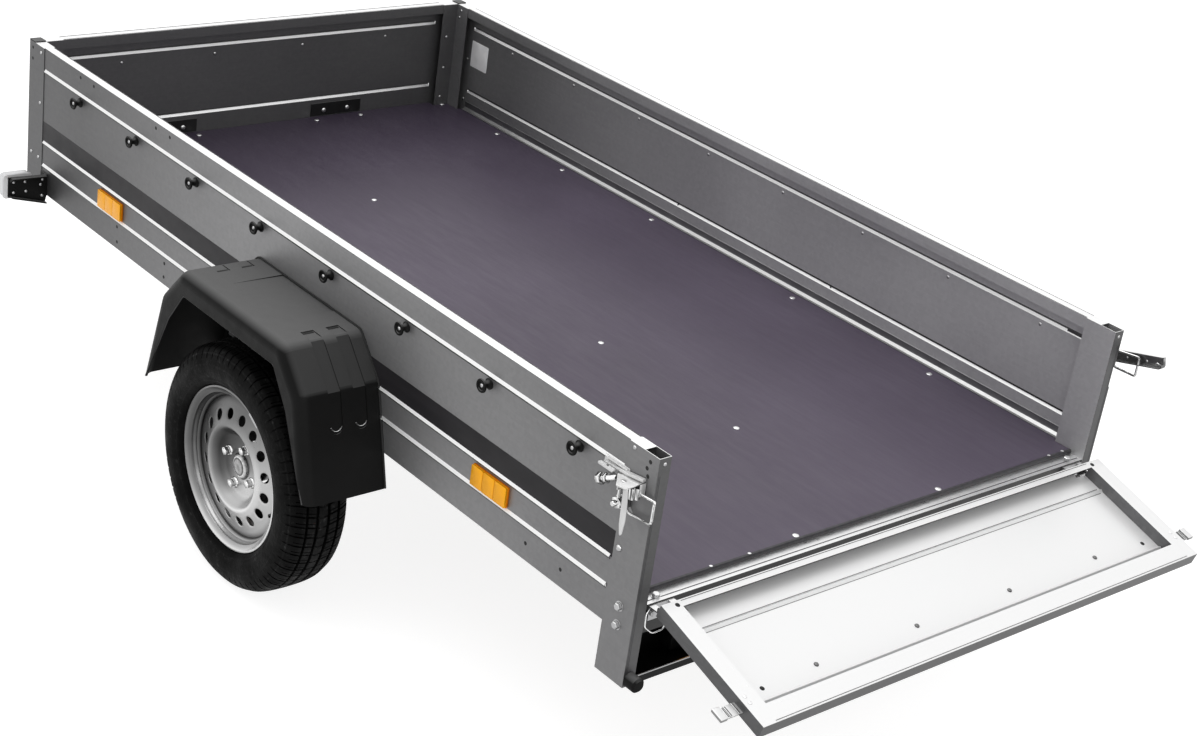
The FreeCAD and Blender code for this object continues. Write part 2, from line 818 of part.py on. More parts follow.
def makeLampBar():
    # black channel between the feet of the rear posts
    body = newBody("lamp_channel")
    reach = halfWidth - d.post_depth
    bottom = -d.rear_post_drop
    skin = d.lamp_bar_sheet
    front = d.lamp_bar_depth
    wallTop = bottom + d.lamp_bar_wall
    lipTop = bottom + d.lamp_bar_lip
    pad(body, "lamp_channel_fold", "XZ", (-reach, reach), [[
        (0, bottom), (front, bottom), (front, wallTop), (front - skin, wallTop),
        (front - skin, bottom + skin), (skin, bottom + skin), (skin, lipTop), (0, lipTop)]])
    return body


def makeTailLamps():
    bottom = -d.rear_post_drop + d.lamp_bar_sheet + d.tail_lamp_raise
    front = d.lamp_bar_depth - d.lamp_bar_sheet
    outer = halfWidth - d.tail_lamp_setback
    lamp = box("tail_lamp", (front - d.tail_lamp_depth, front), (outer - d.tail_lamp_width, outer),
               (bottom, bottom + d.tail_lamp_height))
    return both("tail_lamps_pair", lamp)


def makeBuffers():
    middle = halfWidth - d.buffer_radius
    height = -d.rear_post_drop + d.buffer_radius
    rim = d.buffer_bevel - d.buffer_length
    stem = rod("rear_buffer", "X", d.buffer_radius, (rim, 0), middle, height)
    tip = cone("rear_buffer_tip", "X", d.buffer_radius - d.buffer_bevel, d.buffer_radius,
               (-d.buffer_length, rim), middle, height)
    return both("rear_buffers_pair", fuse("rear_buffer_form", [stem, tip]))


def makeBackingPlates():
    inner = d.bed_length - d.sheet * 2
    half = d.arm_plate_width / 2
    plate = box("backing_plate", (inner - d.backing_plate_thickness, inner),
                (d.arm_spread - half, d.arm_spread + half), (d.backing_plate_low, d.arm_plate_top))
    return both("backing_plates_pair", plate)


def makeDrawbarArm():
    # rectangular tube that runs in from the front board to the drawbar head
    body = newBody("drawbar_arm")
    face = d.bed_length + d.arm_plate_thickness
    meet = d.bed_length + headStart
    half = d.arm_width / 2
    endSide = d.head_half_width
    top = d.arm_top
    bottom = top - d.arm_height
    wall = d.arm_wall
    pad(body, "arm_tube", "XY", (bottom, top), [[
        (face, d.arm_spread - half), (face, d.arm_spread + half),
        (meet + d.head_length / 2, endSide), (meet, endSide)]])
    pocket(body, "arm_hollow", "XY", (bottom + wall, top - wall), [[
        (face, d.arm_spread - half + wall), (face, d.arm_spread + half - wall),
        (meet + d.head_length / 2 - wall * 2, endSide + wall / 2), (meet + wall * 2, endSide + wall / 2)]])
    plateHalf = d.arm_plate_width / 2
    pad(body, "arm_plate", "YZ", (d.bed_length - d.sheet, face), [rectangle(
        (d.arm_spread - plateHalf, d.arm_spread + plateHalf), (-d.arm_plate_drop, d.arm_plate_top))])
    return body


def makeDrawbarHead():
    # square tube that the two arms meet and the coupling is bolted to
    body = newBody("head_tube")
    start = d.bed_length + headStart
    half = d.head_half_width
    top = d.arm_top
    bottom = top - d.arm_height
    wall = d.head_wall
    pad(body, "head_fold", "YZ", (start, start + d.head_length), [
        rectangle((-half, half), (bottom, top)),
        rectangle((-(half - wall), half - wall), (bottom + wall, top - wall))])
    return body


def neckLine():
    # the sloping top of the coupling's neck: its two ends along X and their heights
    start = d.bed_length + headStart + d.head_length
    ballX = frontEnd - d.coupling_ball_setback
    shell = d.coupling_ball_radius + d.coupling_ball_play + d.coupling_wall
    return start, ballX, d.arm_top, shell - d.coupling_ball_drop


def makeCoupling():
    # pressed steel ball coupling: neck, cup over the ball and a collar round its mouth
    start, ballX, neckTop, domeTop = neckLine()
    ballZ = -d.coupling_ball_drop
    mouth = ballZ - d.coupling_wall
    shell = d.coupling_ball_radius + d.coupling_ball_play + d.coupling_wall
    bore = d.coupling_ball_radius + d.coupling_ball_play
    neckBottom = d.arm_top - d.arm_height
    neck = newBody("coupling_neck")
    pad(neck, "coupling_neck_block", "XZ", (-d.coupling_neck_half, d.coupling_neck_half), [[
        (start, neckBottom), (ballX, mouth), (ballX, domeTop), (start, neckTop)]])
    shoulder = ballZ + d.coupling_socket_height
    cup = rod("coupling_cup", "Z", shell, ballX, 0, (mouth, shoulder))
    dome = cone("coupling_dome", "Z", shell, d.coupling_dome_crown, ballX, 0, (shoulder, domeTop))
    nose = rod("coupling_nose", "Z", d.coupling_ball_setback, ballX, 0, (mouth, ballZ + d.coupling_wall))
    socket = rod("coupling_socket", "Z", bore, ballX, 0, (mouth - d.overrun, shoulder))
    crown = cone("coupling_crown", "Z", bore, d.coupling_socket_crown, ballX, 0,
                 (shoulder, domeTop - d.coupling_wall))
    return cut("coupling_shape", fuse("coupling_blank", [neck, cup, dome, nose]), [socket, crown])


def makeHandle():
    # flat hand lever lying back over the coupling's neck
    body = newBody("handle")
    start, ballX, neckTop, domeTop = neckLine()
    tip = frontEnd - d.coupling_ball_setback * 2
    foot = d.arm_top
    back = tip - d.handle_length
    rise = d.handle_rise
    thick = d.handle_thickness
    slope = (neckTop - domeTop) / (ballX - start)
    pad(body, "handle_bar", "XZ", (-d.handle_width / 2, d.handle_width / 2), [[
        (tip, neckTop - (tip - start) * slope), (tip, foot), (tip - rise, foot + thick), (back, foot + rise),
        (back, foot + rise - thick), (tip - rise * 2, foot),
        (tip - rise * 2, neckTop - (tip - rise * 2 - start) * slope)]])
    return body


def armSide(x):
    # how far out the drawbar arm's outer side is at one place along X
    face = d.bed_length + d.arm_plate_thickness
    end = d.bed_length + headStart + d.head_length / 2
    wide = d.arm_spread + d.arm_width / 2
    return wide - (x - face) * ((wide - d.head_half_width) / (end - face))


def standPlace():
    x = d.bed_length + d.stand_setback
    y = -(armSide(x) + d.stand_radius + d.stand_clamp_wall + d.stand_arm_gap)
    return x, y


def makeStandClamp():
    # split collar on a plate that is bolted to the right drawbar arm
    x, y = standPlace()
    top = d.arm_top
    bottom = top - d.stand_clamp_height
    outer = d.stand_radius + d.stand_clamp_wall
    collar = rod("clamp_collar", "Z", outer, x, y, (bottom, top))
    arm = newBody("clamp_arm")
    pad(arm, "clamp_arm_block", "XY", (bottom, top), [[
        (x - outer, y), (x + outer, y), (x + outer, -armSide(x + outer) - d.stand_seat_gap),
        (x - outer, -armSide(x - outer) - d.stand_seat_gap)]])
    bore = rod("clamp_bore", "Z", d.stand_radius + d.stand_play, x, y, (bottom - d.overrun, top + d.overrun))
    return cut("stand_clamp_shape", fuse("clamp_blank", [collar, arm]), [bore])


def makeStand():
    # prop stand: a steel tube with a square foot, standing on the ground
    x, y = standPlace()
    ground = -bedZ
    tube = rod("stand_tube", "Z", d.stand_radius, x, y, (ground, d.stand_top))
    hollow = rod("stand_hollow", "Z", d.stand_radius - d.stand_wall, x, y,
                 (ground + d.stand_foot_thickness, d.stand_top + d.overrun))
    foot = box("stand_foot", (x - d.stand_foot_half, x + d.stand_foot_half),
               (y - d.stand_foot_half, y + d.stand_foot_half), (ground, ground + d.stand_foot_thickness))
    return fuse("stand_shape", [cut("stand_tube_shape", tube, [hollow]), foot])


def makeTyre():
    body = newBody("tyre")
    half = d.tyre_half_width
    tread = d.tread_half_width
    top = d.tyre_radius
    shoulder = top - d.tyre_shoulder
    wide = d.sidewall_radius
    seat = d.bead_seat_radius
    flange = d.rim_flange_radius
    inside = d.rim_half_width - d.rim_flange_width
    right = [(seat, -inside), (flange + d.rim_wall, -inside), (wide, -half), (shoulder, -half), (top, -tread)]
    left = [(r, -y) for r, y in reversed(right)]
    revolve(body, "tyre_section", [right + left])
    return body


def makeWheel():
    # rolled rim with a pressed ventilated disc
    body = newBody("wheel")
    wall = d.disc_wall
    flange = d.rim_flange_radius
    seat = d.bead_seat_radius
    barrel = seat - d.rim_wall
    out = d.rim_half_width
    lip = out - d.rim_flange_width
    joint = d.disc_rim_offset
    face = d.disc_offset
    crest = d.disc_crest
    rim = [(barrel, -out), (flange, -out), (flange, -lip), (seat, -lip), (seat, lip), (flange, lip),
           (flange, out), (barrel, out)]
    front = [(barrel, joint), (d.disc_foot_radius, joint),
             (d.disc_shoulder_radius, crest - d.disc_shoulder_drop),
             (d.disc_crest_outer, crest), (d.disc_crest_inner, crest), (d.disc_face_radius, face),
             (d.hub_bore_radius, face)]
    back = [(r, y - wall) for r, y in reversed(front)]
    revolve(body, "wheel_section", [rim + front + back])
    tools = []
    for name, circle, radius, count, phase in (
            ("vent", d.disc_hole_circle, d.disc_hole_radius, d.disc_hole_count, d.disc_hole_phase),
            ("bolt", d.wheel_bolt_circle, d.wheel_bolt_radius, d.wheel_bolt_count, d.wheel_bolt_phase)):
        for number in range(int(count.number)):
            angle = phase + number * (360 / count)
            tools.append(rod("%s_hole_%d" % (name, number + 1), "Y", radius, circle * cosine(angle),
                             (0, crest + d.overrun), circle * sine(angle)))
    return cut("wheel_shape", body, tools)


def makeHub():
    body = newBody("hub")
    face = d.disc_offset - d.rim_wall
    back = face - d.hub_length
    bore = d.stub_radius + d.stub_play
    nose = face + d.hub_nose_length
    revolve(body, "hub_section", [[
        (0, nose), (0, back + d.stub_depth), (bore, back + d.stub_depth), (bore, back),
        (d.hub_radius, back), (d.hub_radius, face - d.hub_flange_thickness),
        (d.hub_flange_radius, face - d.hub_flange_thickness), (d.hub_flange_radius, face),
        (d.hub_nose_radius, face), (d.hub_nose_radius, nose - d.hub_nose_bevel),
        (d.hub_nose_radius - d.hub_nose_bevel, nose)]])
    return body


def makeAxleTube():
    # square tube with the plates that hang it from the feet of the side walls
    x = d.wheel_place + d.axle_forward
    z = -d.wheel_drop + d.axle_raise
    body = newBody("axle")
    half = d.axle_half
    core = half - d.axle_wall
    pad(body, "axle_fold", "XZ", (-axleHalfLength, axleHalfLength), [
        rectangle((x - half, x + half), (z - half, z + half)),
        rectangle((x - core, x + core), (z - core, z + core))])
    thick = d.axle_bracket_thickness
    top = -d.wall_drop
    long = d.axle_bracket_length / 2
    across = halfWidth - d.axle_bracket_setback
    web = newBody("bracket_web")
    pad(web, "bracket_web_plate", "XZ", (across, across + thick), [[
        (x - long, top), (x - long, top - thick * 2), (x - half - thick, z - half - thick),
        (x + half + thick, z - half - thick), (x + long, top - thick * 2), (x + long, top)]])
    foot = box("bracket_foot", (x - long, x + long), (across, panelOuter), (top - thick, top))
    hole = box("bracket_hole", (x - core, x + core), (across - d.overrun, across + thick + d.overrun),
               (z - core, z + core))
    bracket = cut("axle_bracket", fuse("axle_bracket_blank", [web, foot]), [hole])
    return fuse("axle_tube_shape", [body, both("axle_brackets_pair", bracket)])


def makeSwingArm():
    # trailing arm of the rubber-sprung axle, with the stub that carries the hub
    axleX = d.wheel_place + d.axle_forward
    axleZ = -d.wheel_drop + d.axle_raise
    inner = axleHalfLength
    outer = inner + d.arm_lever_width
    core = d.axle_half - d.axle_wall
    radius = d.arm_lever_radius
    body = newBody("arm_web")
    pad(body, "arm_web_plate", "XZ", (inner, outer), [[
        (d.wheel_place, -d.wheel_drop - radius), (axleX, axleZ - radius),
        (axleX, axleZ + radius), (d.wheel_place, -d.wheel_drop + radius)]])
    stubEnd = wheelPlane + d.disc_offset - d.rim_wall - d.hub_length + d.stub_depth - d.overrun
    pieces = [body,
              rod("arm_eye_rear", "Y", radius, d.wheel_place, (inner, outer), -d.wheel_drop),
              rod("arm_eye_front", "Y", radius, axleX, (inner, outer), axleZ),
              box("arm_core", (axleX - core, axleX + core), (inner - d.hub_length, inner + d.overrun),
                  (axleZ - core, axleZ + core)),
              rod("arm_stub", "Y", d.stub_radius, d.wheel_place, (outer - d.overrun, stubEnd), -d.wheel_drop)]
    return fuse("swing_arm", pieces)


def guardOutline(inset):
    # side view of the mudguard, moved in from its outer surface
    x = d.wheel_place
    bevelFoot = d.guard_bevel_foot - inset * d.guard_drop_share
    half = [(d.guard_half_foot - inset * d.guard_flap_share, d.guard_foot),
            (d.guard_half_bevel - inset * d.guard_bevel_share, bevelFoot),
            (d.guard_half_top - inset * d.guard_top_share, d.guard_top - inset)]
    return [(x - u, v) for u, v in half] + [(x + u, v) for u, v in reversed(half)]


def isCrease(edge):
    # true for the edges that cross the mudguard where its side view turns
    room = edge.BoundBox
    near = d.edge_tolerance.number
    return room.XLength < near and room.ZLength < near and room.ZMin > d.guard_bevel_foot.number / 2


def isRim(edge, face):
    # true for the edges round the mudguard's outer side, except the one at its foot
    room = edge.BoundBox
    near = d.edge_tolerance.number
    return abs(room.YMin - face.number) < near and room.YLength < near and room.ZMax > 0


def guardBlock(name, span, inset):
    # solid with the mudguard's outer form, moved in by the inset; the inner ones run out below
    body = newBody(name)
    low = d.guard_foot - (d.overrun if inset else 0)
    outline = guardOutline(inset)
    outline = [(outline[0][0], low)] + outline[1:-1] + [(outline[-1][0], low)]
    pad(body, name + "_block", "XZ", span, [outline])
    rounded(body, name + "_creases", d.guard_crease_round - inset, isCrease)
    rounded(body, name + "_rim", d.guard_edge_round - inset, lambda edge: isRim(edge, span[1]))
    return body


def guardChannels():
    # shallow pressed channels that run from the top's ends down the bevels and flaps
    x = d.wheel_place
    skin = newBody("guard_skin")
    far = d.guard_half_foot + d.overrun
    high = d.guard_top + d.overrun
    inner = guardOutline(d.guard_channel_depth)
    pad(skin, "guard_skin_block", "XZ", (panelOuter, guardFace), [[
        (x - far, d.guard_foot), inner[0], inner[1], inner[2], inner[3], inner[4], inner[5],
        (x + far, d.guard_foot), (x + far, high), (x - far, high)]])
    paths = []
    half = d.guard_channel_width / 2
    low = -d.guard_channel_end
    ends = {"rear": (x - far, x - d.guard_channel_start), "front": (x + d.guard_channel_start, x + far)}
    for row, middle in (("near", d.guard_channel_near), ("far", d.guard_channel_far)):
        for end, span in ends.items():
            name = row + "_" + end
            paths.append(box("guard_path_" + name, span, (middle - half, middle + half), (low, high)))
            paths.append(rod("guard_path_end_" + name, "X", half, span, middle, low))
    channels = doc.addObject("Part::Common", "guard_channels")
    channels.Base = skin
    channels.Tool = fuse("guard_paths", paths)
    return channels


def makeMudguard():
    # moulded shell: flat top, bevels and flaps, with a turned-down lip on its outer side
    wall = d.guard_wall
    outer = guardBlock("guard_outer", (panelOuter, guardFace), 0)
    inner = guardBlock("guard_inner", (panelOuter + wall, guardFace - wall), wall)
    x = d.wheel_place
    low = d.guard_foot - d.overrun
    side = d.guard_lip_side
    window = newBody("guard_window")
    half = [(d.guard_half_foot - d.guard_lip_foot, low),
            (d.guard_half_bevel - side, d.guard_bevel_foot - side),
            (d.guard_half_top - side / 2, d.guard_top - d.guard_lip_top)]
    pad(window, "guard_window_block", "XZ", (guardFace - d.guard_edge_round, guardFace + d.overrun), [
        [(x - u, v) for u, v in half] + [(x + u, v) for u, v in reversed(half)]])
    # the side against the wall is open but for a rim
    back = newBody("guard_back")
    rim = guardOutline(d.guard_inner_rim)
    lipLow = d.guard_top - d.guard_inner_lip
    lean = (rim[2][0] - rim[1][0]) / (rim[2][1] - rim[1][1])
    lipX = rim[1][0] + (lipLow - rim[1][1]) * lean
    pad(back, "guard_back_block", "XZ", (panelOuter - d.overrun, panelOuter + wall + d.overrun), [[
        (rim[0][0], low), rim[1], (lipX, lipLow), (x * 2 - lipX, lipLow), rim[4], (rim[5][0], low)]])
    hollow = newBody("guard_hollow")
    top = d.guard_top
    pad(hollow, "guard_hollow_wedge", "YZ", (x - d.guard_hollow_half, x + d.guard_hollow_half), [[
        (panelOuter - d.overrun, top - d.guard_hollow_depth), (panelOuter, top - d.guard_hollow_depth),
        (panelOuter + d.guard_hollow_reach, top), (panelOuter - d.overrun, top + d.overrun)]])
    tools = [inner, window, back, hollow, guardChannels()]
    far = d.guard_half_foot + d.overrun
    for name in ("middle", "lower"):
        # the wall's bead runs through here
        bead = (wallBeads[name] - d.bead_half_width, wallBeads[name] + d.bead_half_width)
        tools.append(box("guard_groove_" + name, (x - far, x + far),
                         (panelOuter - d.overrun, panelOuter + d.bead_height), bead))
    return cut("mudguard_shell", outer, tools)


def makeKnob(name, along, wall, out, x, y, z):
    # round knob on a square stem: wall is the face it stands on, out is the way it points
    tip = wall + d.knob_stand_off * out
    under = tip - d.knob_head_thickness * out
    stem = sorted((wall, under), key=numberOf)
    head = sorted((under, tip), key=numberOf)
    half = d.knob_stem_half
    if along == "X":
        return [box(name + "_stem", stem, (y - half, y + half), (z - half, z + half)),
                rod(name + "_head", "X", d.knob_head_radius, head, y, z)]
    return [box(name + "_stem", (x - half, x + half), stem, (z - half, z + half)),
            rod(name + "_head", "Y", d.knob_head_radius, x, head, z)]


def makeKnobs():
    # knobs for a cover's cord along both side walls and across the front board
    pitch = (d.bed_length - d.knob_first - d.knob_end) / (d.knob_count - 1)
    height = d.rail_top - d.knob_drop
    pieces = []
    for number in range(int(d.knob_count.number)):
        x = d.knob_first + pitch * number
        pieces += makeKnob("side_knob_%d" % (number + 1), "Y", panelOuter, 1, x, 0, height)
    height = d.rail_top - d.board_knob_drop
    for name, y in (("inner", d.end_knob_inner), ("outer", d.end_knob_outer)):
        pieces += makeKnob("board_knob_" + name, "X", d.bed_length - d.sheet, 1, 0, y, height)
    return both("tarp_knobs_pair", fuse("tarp_knobs_row", pieces))


def makeGateKnobs():
    # the same knobs on the tailgate's outer face
    face = gateInnerFace - d.gate_depth
    pieces = []
    for name, y in (("inner", d.end_knob_inner), ("outer", d.end_knob_outer)):
        pieces += makeKnob("gate_knob_" + name, "X", face, -1, 0, y, d.gate_knob_height)
    return both("tailgate_knobs_pair", fuse("tailgate_knobs_row", pieces))


def makeReflectors():
    pieces = []
    bevel = d.reflector_bevel
    half = d.reflector_length / 2
    base = panelOuter
    tip = base + d.reflector_thickness
    span = (d.reflector_middle - d.reflector_height / 2, d.reflector_middle + d.reflector_height / 2)
    for name, x in (("rear", d.reflector_rear), ("front", d.bed_length - d.reflector_front_setback)):
        body = newBody("reflector_" + name)
        pad(body, "reflector_block_" + name, "XY", span, [[
            (x - half, base), (x + half, base), (x + half, tip - bevel), (x + half - bevel, tip),
            (x - half + bevel, tip), (x - half, tip - bevel)]])
        pieces.append(body)
    return both("side_reflectors_pair", fuse("side_reflectors_row", pieces))


def makeLampBrackets():
    # plates that carry the front position lamps beside the bed
    body = newBody("lamp_plate")
    x = d.bed_length - d.front_lamp_setback
    root = panelOuter
    neck = root + d.bead_half_width
    tip = root + d.front_lamp_reach
    pad(body, "lamp_plate_fold", "YZ", (x, x + d.front_lamp_plate), [[
        (root, d.front_lamp_root_bottom + d.bead_half_width * 4), (neck, d.front_lamp_root_bottom),
        (tip, d.front_lamp_tip_bottom), (tip, d.front_lamp_tip_top), (neck, d.front_lamp_root_top),
        (root, d.front_lamp_root_top)]])
    foot = box("lamp_plate_foot", (x, x + d.front_lamp_foot), (root, root + d.front_lamp_plate),
               (-d.wall_drop, d.front_lamp_root_top))
    return both("front_lamp_brackets_pair", fuse("lamp_bracket", [body, foot]))


def makeFrontLamps():
    x = d.bed_length - d.front_lamp_setback + d.front_lamp_plate
    tip = panelOuter + d.front_lamp_reach + d.lens_overhang
    lens = box("front_lamp", (x, x + d.lens_depth), (tip - d.lens_width, tip), (d.lens_bottom, d.lens_top))
    return both("front_lamps_pair", lens)


def latchBase(name):
    # channel strip of a side latch, on a foot on the post and a heel on the wall
    x = d.latch_plate_start
    end = x + d.latch_plate_length
    thick = d.latch_plate_thickness
    seat = halfWidth + d.latch_stand_off
    edge = seat + d.latch_plate_lips
    low = latchTop - d.latch_plate_height
    strip = newBody("latch_strip_" + name)
    pad(strip, "latch_strip_fold_" + name, "YZ", (x, end), [[
        (seat, latchTop), (edge, latchTop), (edge, latchTop - thick), (seat + thick, latchTop - thick),
        (seat + thick, low + thick), (edge, low + thick), (edge, low), (seat, low)]])
    foot = box("latch_foot_" + name, (x, x + d.latch_foot_length), (halfWidth, seat), (low, latchTop))
    heel = box("latch_heel_" + name, (end - d.latch_foot_length, end), (panelOuter, seat),
               (low, latchTop - d.latch_heel_drop))
    return [strip, foot, heel]


def makeLeftLatch():
    # the left lever hangs straight down from its ears
    low = latchTop - d.latch_plate_height
    seat = halfWidth + d.latch_stand_off + d.latch_plate_thickness
    ears = (d.latch_ear_place, d.latch_ear_place + d.latch_ear_length)
    outer = seat + d.latch_ear_depth
    pieces = latchBase("left")
    pieces.append(box("latch_ears_left", ears, (seat, outer), (low - d.latch_ear_drop, latchTop)))
    pivot = low - d.latch_ear_drop / 2
    lever = newBody("latch_lever_left")
    half = d.latch_lever_width / 2
    taper = d.latch_lever_taper
    middle = (ears[0] + ears[1]) / 2
    foot = middle - d.latch_lever_lean
    bottom = pivot - d.latch_lever_length
    pad(lever, "latch_lever_form_left", "XZ", (outer - d.latch_lever_thickness, outer), [[
        (middle - half, pivot + half), (foot - half + taper / 2, bottom + taper),
        (foot - half + taper, bottom), (foot + half - taper, bottom),
        (foot + half - taper / 2, bottom + taper), (middle + half, pivot + half)]])
    pieces.append(lever)
    radius = d.latch_pin_radius
    pieces.append(rod("latch_pin_left", "X", radius, (ears[0] - radius, ears[1] + radius),
                      outer - d.latch_ear_depth / 2, low + radius * 2))
    return fuse("latch_shape_left", pieces)


def makeRightLatch():
    # the right lever, a channel, is swung out to the rear; drawn on the left and then mirrored
    low = latchTop - d.latch_plate_height
    seat = halfWidth + d.latch_stand_off + d.latch_plate_thickness
    x = d.latch_plate_start
    plane = panelOuter + d.latch_right_gap
    edge = plane + d.latch_right_depth
    thick = d.latch_plate_thickness
    pieces = latchBase("right")
    pieces.append(box("latch_ears_right", (x, x + d.latch_ear_length), (seat, plane), (low, latchTop)))
    lever = newBody("latch_lever_right")
    bottom = low + thick * 2
    top = latchTop - thick * 2
    reach = (d.latch_ear_length - d.latch_right_reach, x + d.latch_ear_length)
    pad(lever, "latch_lever_form_right", "YZ", reach, [[
        (plane, top), (edge, top), (edge, top - thick), (plane + thick, top - thick),
        (plane + thick, bottom + thick), (edge, bottom + thick), (edge, bottom), (plane, bottom)]])
    pieces.append(lever)
    return fuse("latch_shape_right", pieces)


keepPair("side_panel", makeSidePanel())
keep("front_board", makeFrontBoard())
keepPair("rear_post", makeRearPost())
keepPair("front_post", makeFrontPost())
keep("front_post_caps", makePostCap())
keep("floor_board", makeFloor())
keep("edge_strips", makeStrip())
keep("cross_members", makeCrossMembers())
keep("rear_sill", makeSill())
keep("hinge_brackets", makeHingeBracket())
keepOnGate("tailgate_pan", makeGatePan())
keepOnGate("tailgate_hinges", makeGateHinges())
keepOnGate("tailgate_strikers", makeStrikers())
keepOnGate("tailgate_knobs", makeGateKnobs())
keep("lamp_bar", makeLampBar())
keep("tail_lamps", makeTailLamps())
keep("rear_buffers", makeBuffers())
keep("backing_plates", makeBackingPlates())
keepPair("drawbar_arm", makeDrawbarArm())
keep("drawbar_head", makeDrawbarHead())
keep("coupling_head", makeCoupling())
keep("coupling_handle", makeHandle())
keep("stand_clamp", makeStandClamp())
keep("stand_leg", makeStand())
keepOnWheels("tyre", makeTyre())
keepOnWheels("wheel", makeWheel())
keepOnWheels("hub", makeHub())
keep("axle_tube", makeAxleTube())
keepPair("swing_arm", makeSwingArm())
keepPair("mudguard", makeMudguard())
keep("tarp_knobs", makeKnobs())
keep("side_reflectors", makeReflectors())
keep("front_lamp_brackets", makeLampBrackets())
keep("front_lamps", makeFrontLamps())
keep("latch_left", makeLeftLatch())
keep("latch_right", mirrored("latch_right_place", makeRightLatch()))

for name, obj in nodes.items():
    obj.Label = name
doc.recompute()

faults = [obj.Name for obj in doc.Objects if "Invalid" in obj.State or "Error" in obj.State]
faults += [name for name, obj in nodes.items() if obj.Shape.isNull() or not obj.Shape.isValid()]
if faults:
    raise RuntimeError("these objects failed: " + ", ".join(faults))

os.makedirs("parts", exist_ok=True)
for name, obj in nodes.items():
    obj.Shape.exportStep("parts/" + name + ".step")
    room = obj.Shape.BoundBox
    print("%-22s solids %2d  x %8.1f %8.1f  y %8.1f %8.1f  z %8.1f %8.1f" % (
        name, len(obj.Shape.Solids), room.XMin, room.XMax, room.YMin, room.YMax, room.ZMin, room.ZMax))
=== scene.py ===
import bmesh
import bpy
import json
import math
from mathutils import Matrix, Vector


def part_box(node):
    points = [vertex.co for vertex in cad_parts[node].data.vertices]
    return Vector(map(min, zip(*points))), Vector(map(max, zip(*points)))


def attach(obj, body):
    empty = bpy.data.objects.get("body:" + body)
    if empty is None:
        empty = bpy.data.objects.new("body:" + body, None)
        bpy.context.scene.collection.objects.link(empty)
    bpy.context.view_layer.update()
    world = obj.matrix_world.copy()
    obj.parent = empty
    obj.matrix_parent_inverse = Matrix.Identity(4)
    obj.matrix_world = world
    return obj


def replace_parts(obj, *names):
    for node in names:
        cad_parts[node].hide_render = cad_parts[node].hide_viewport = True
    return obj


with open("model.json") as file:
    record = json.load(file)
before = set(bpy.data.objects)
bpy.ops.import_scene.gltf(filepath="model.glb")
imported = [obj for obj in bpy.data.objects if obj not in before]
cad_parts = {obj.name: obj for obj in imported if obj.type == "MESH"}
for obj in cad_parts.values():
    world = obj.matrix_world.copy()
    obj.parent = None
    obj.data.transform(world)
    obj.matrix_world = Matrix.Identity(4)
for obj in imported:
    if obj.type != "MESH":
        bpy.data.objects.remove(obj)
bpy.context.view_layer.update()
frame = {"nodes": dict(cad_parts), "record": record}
nodes = frame["nodes"]
scene = bpy.context.scene
mm = 0.001
front, rear, left, right = (1, 0, 0), (-1, 0, 0), (0, 1, 0), (0, -1, 0)
up, down = (0, 0, 1), (0, 0, -1)

# millimetres ahead of the rear posts, beside the trailer's middle and above the floor's top; wall, post and
# inside are faces of the side, boardBack and boardFront those of the front board, and gateOpen is in degrees
places = {"hinge": (-27, 0, -8), "gateOpen": 106.13, "wheel": (1096, 764.5, -232), "wall": 658.5, "post": 660,
          "inside": 657, "boardBack": 2371, "boardFront": 2380}
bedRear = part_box("rear_post_left")[0].x      # rear faces of the rear posts
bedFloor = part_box("floor_board")[1].z        # top of the plywood


def onBed(x, y, z):
    return Vector((bedRear + x * mm, y * mm, bedFloor + z * mm))


gateTurn = Matrix.Translation(onBed(*places["hinge"])) @ Matrix.Rotation(-math.radians(places["gateOpen"]), 4, "Y")
gateIn, gateOut = [tuple(gateTurn.to_3x3() @ Vector(way)) for way in (front, rear)]
wheelCentre = onBed(*places["wheel"])


def onGate(out, y, rise):    # on the gate as it stands when shut, from the hinge's line
    return gateTurn @ Vector((out * mm, y * mm, rise * mm))


def add(tree, kind, links=(), **settings):
    # a node with its settings; a link is an input with a value or with another node's output
    made = tree.nodes.new(kind)
    for key, value in settings.items():
        setattr(made, key, value)
    for socket, source in links:
        if hasattr(source, "is_output"):
            tree.links.new(source, made.inputs[socket])
        else:
            made.inputs[socket].default_value = source
    return made


def newMaterial(name, colour, roughness, metallic=0.0, specular=0.5):
    material = bpy.data.materials.new(name)
    material.use_nodes = True
    shader = material.node_tree.nodes["Principled BSDF"]
    for socket, value in (("Base Color", (*colour, 1)), ("Roughness", roughness), ("Metallic", metallic),
                          ("Specular IOR Level", specular)):
        shader.inputs[socket].default_value = value
    return material, material.node_tree, shader


def grey(value):
    return (value, value, value)


def objectSpace(tree, stretch=(1, 1, 1)):
    place = tree.nodes.new("ShaderNodeTexCoord").outputs["Object"]
    return add(tree, "ShaderNodeMapping", [("Vector", place), ("Scale", stretch)]).outputs["Vector"]


def coordinate(tree, kind, axis):            # kind is Object for the place or Normal for the facing
    source = tree.nodes.new("ShaderNodeTexCoord").outputs[kind]
    return add(tree, "ShaderNodeSeparateXYZ", [(0, source)]).outputs[axis]


def noise(tree, vector, scale, detail=3.0, rough=0.5):
    return add(tree, "ShaderNodeTexNoise", [("Vector", vector), ("Scale", scale), ("Detail", detail),
                                            ("Roughness", rough)]).outputs["Fac"]


def spread(tree, value, low, high, fromLow=0.3, fromHigh=0.7):
    return add(tree, "ShaderNodeMapRange", [("Value", value), ("From Min", fromLow), ("From Max", fromHigh),
                                            ("To Min", low), ("To Max", high)]).outputs["Result"]


def ramp(tree, value, stops):
    made = add(tree, "ShaderNodeValToRGB", [("Fac", value)])
    band = made.color_ramp
    while len(band.elements) < len(stops):
        band.elements.new(0.5)
    for element, (place, colour) in zip(band.elements, stops):
        element.position = place
        element.color = (*colour, 1)
    return made.outputs["Color"]


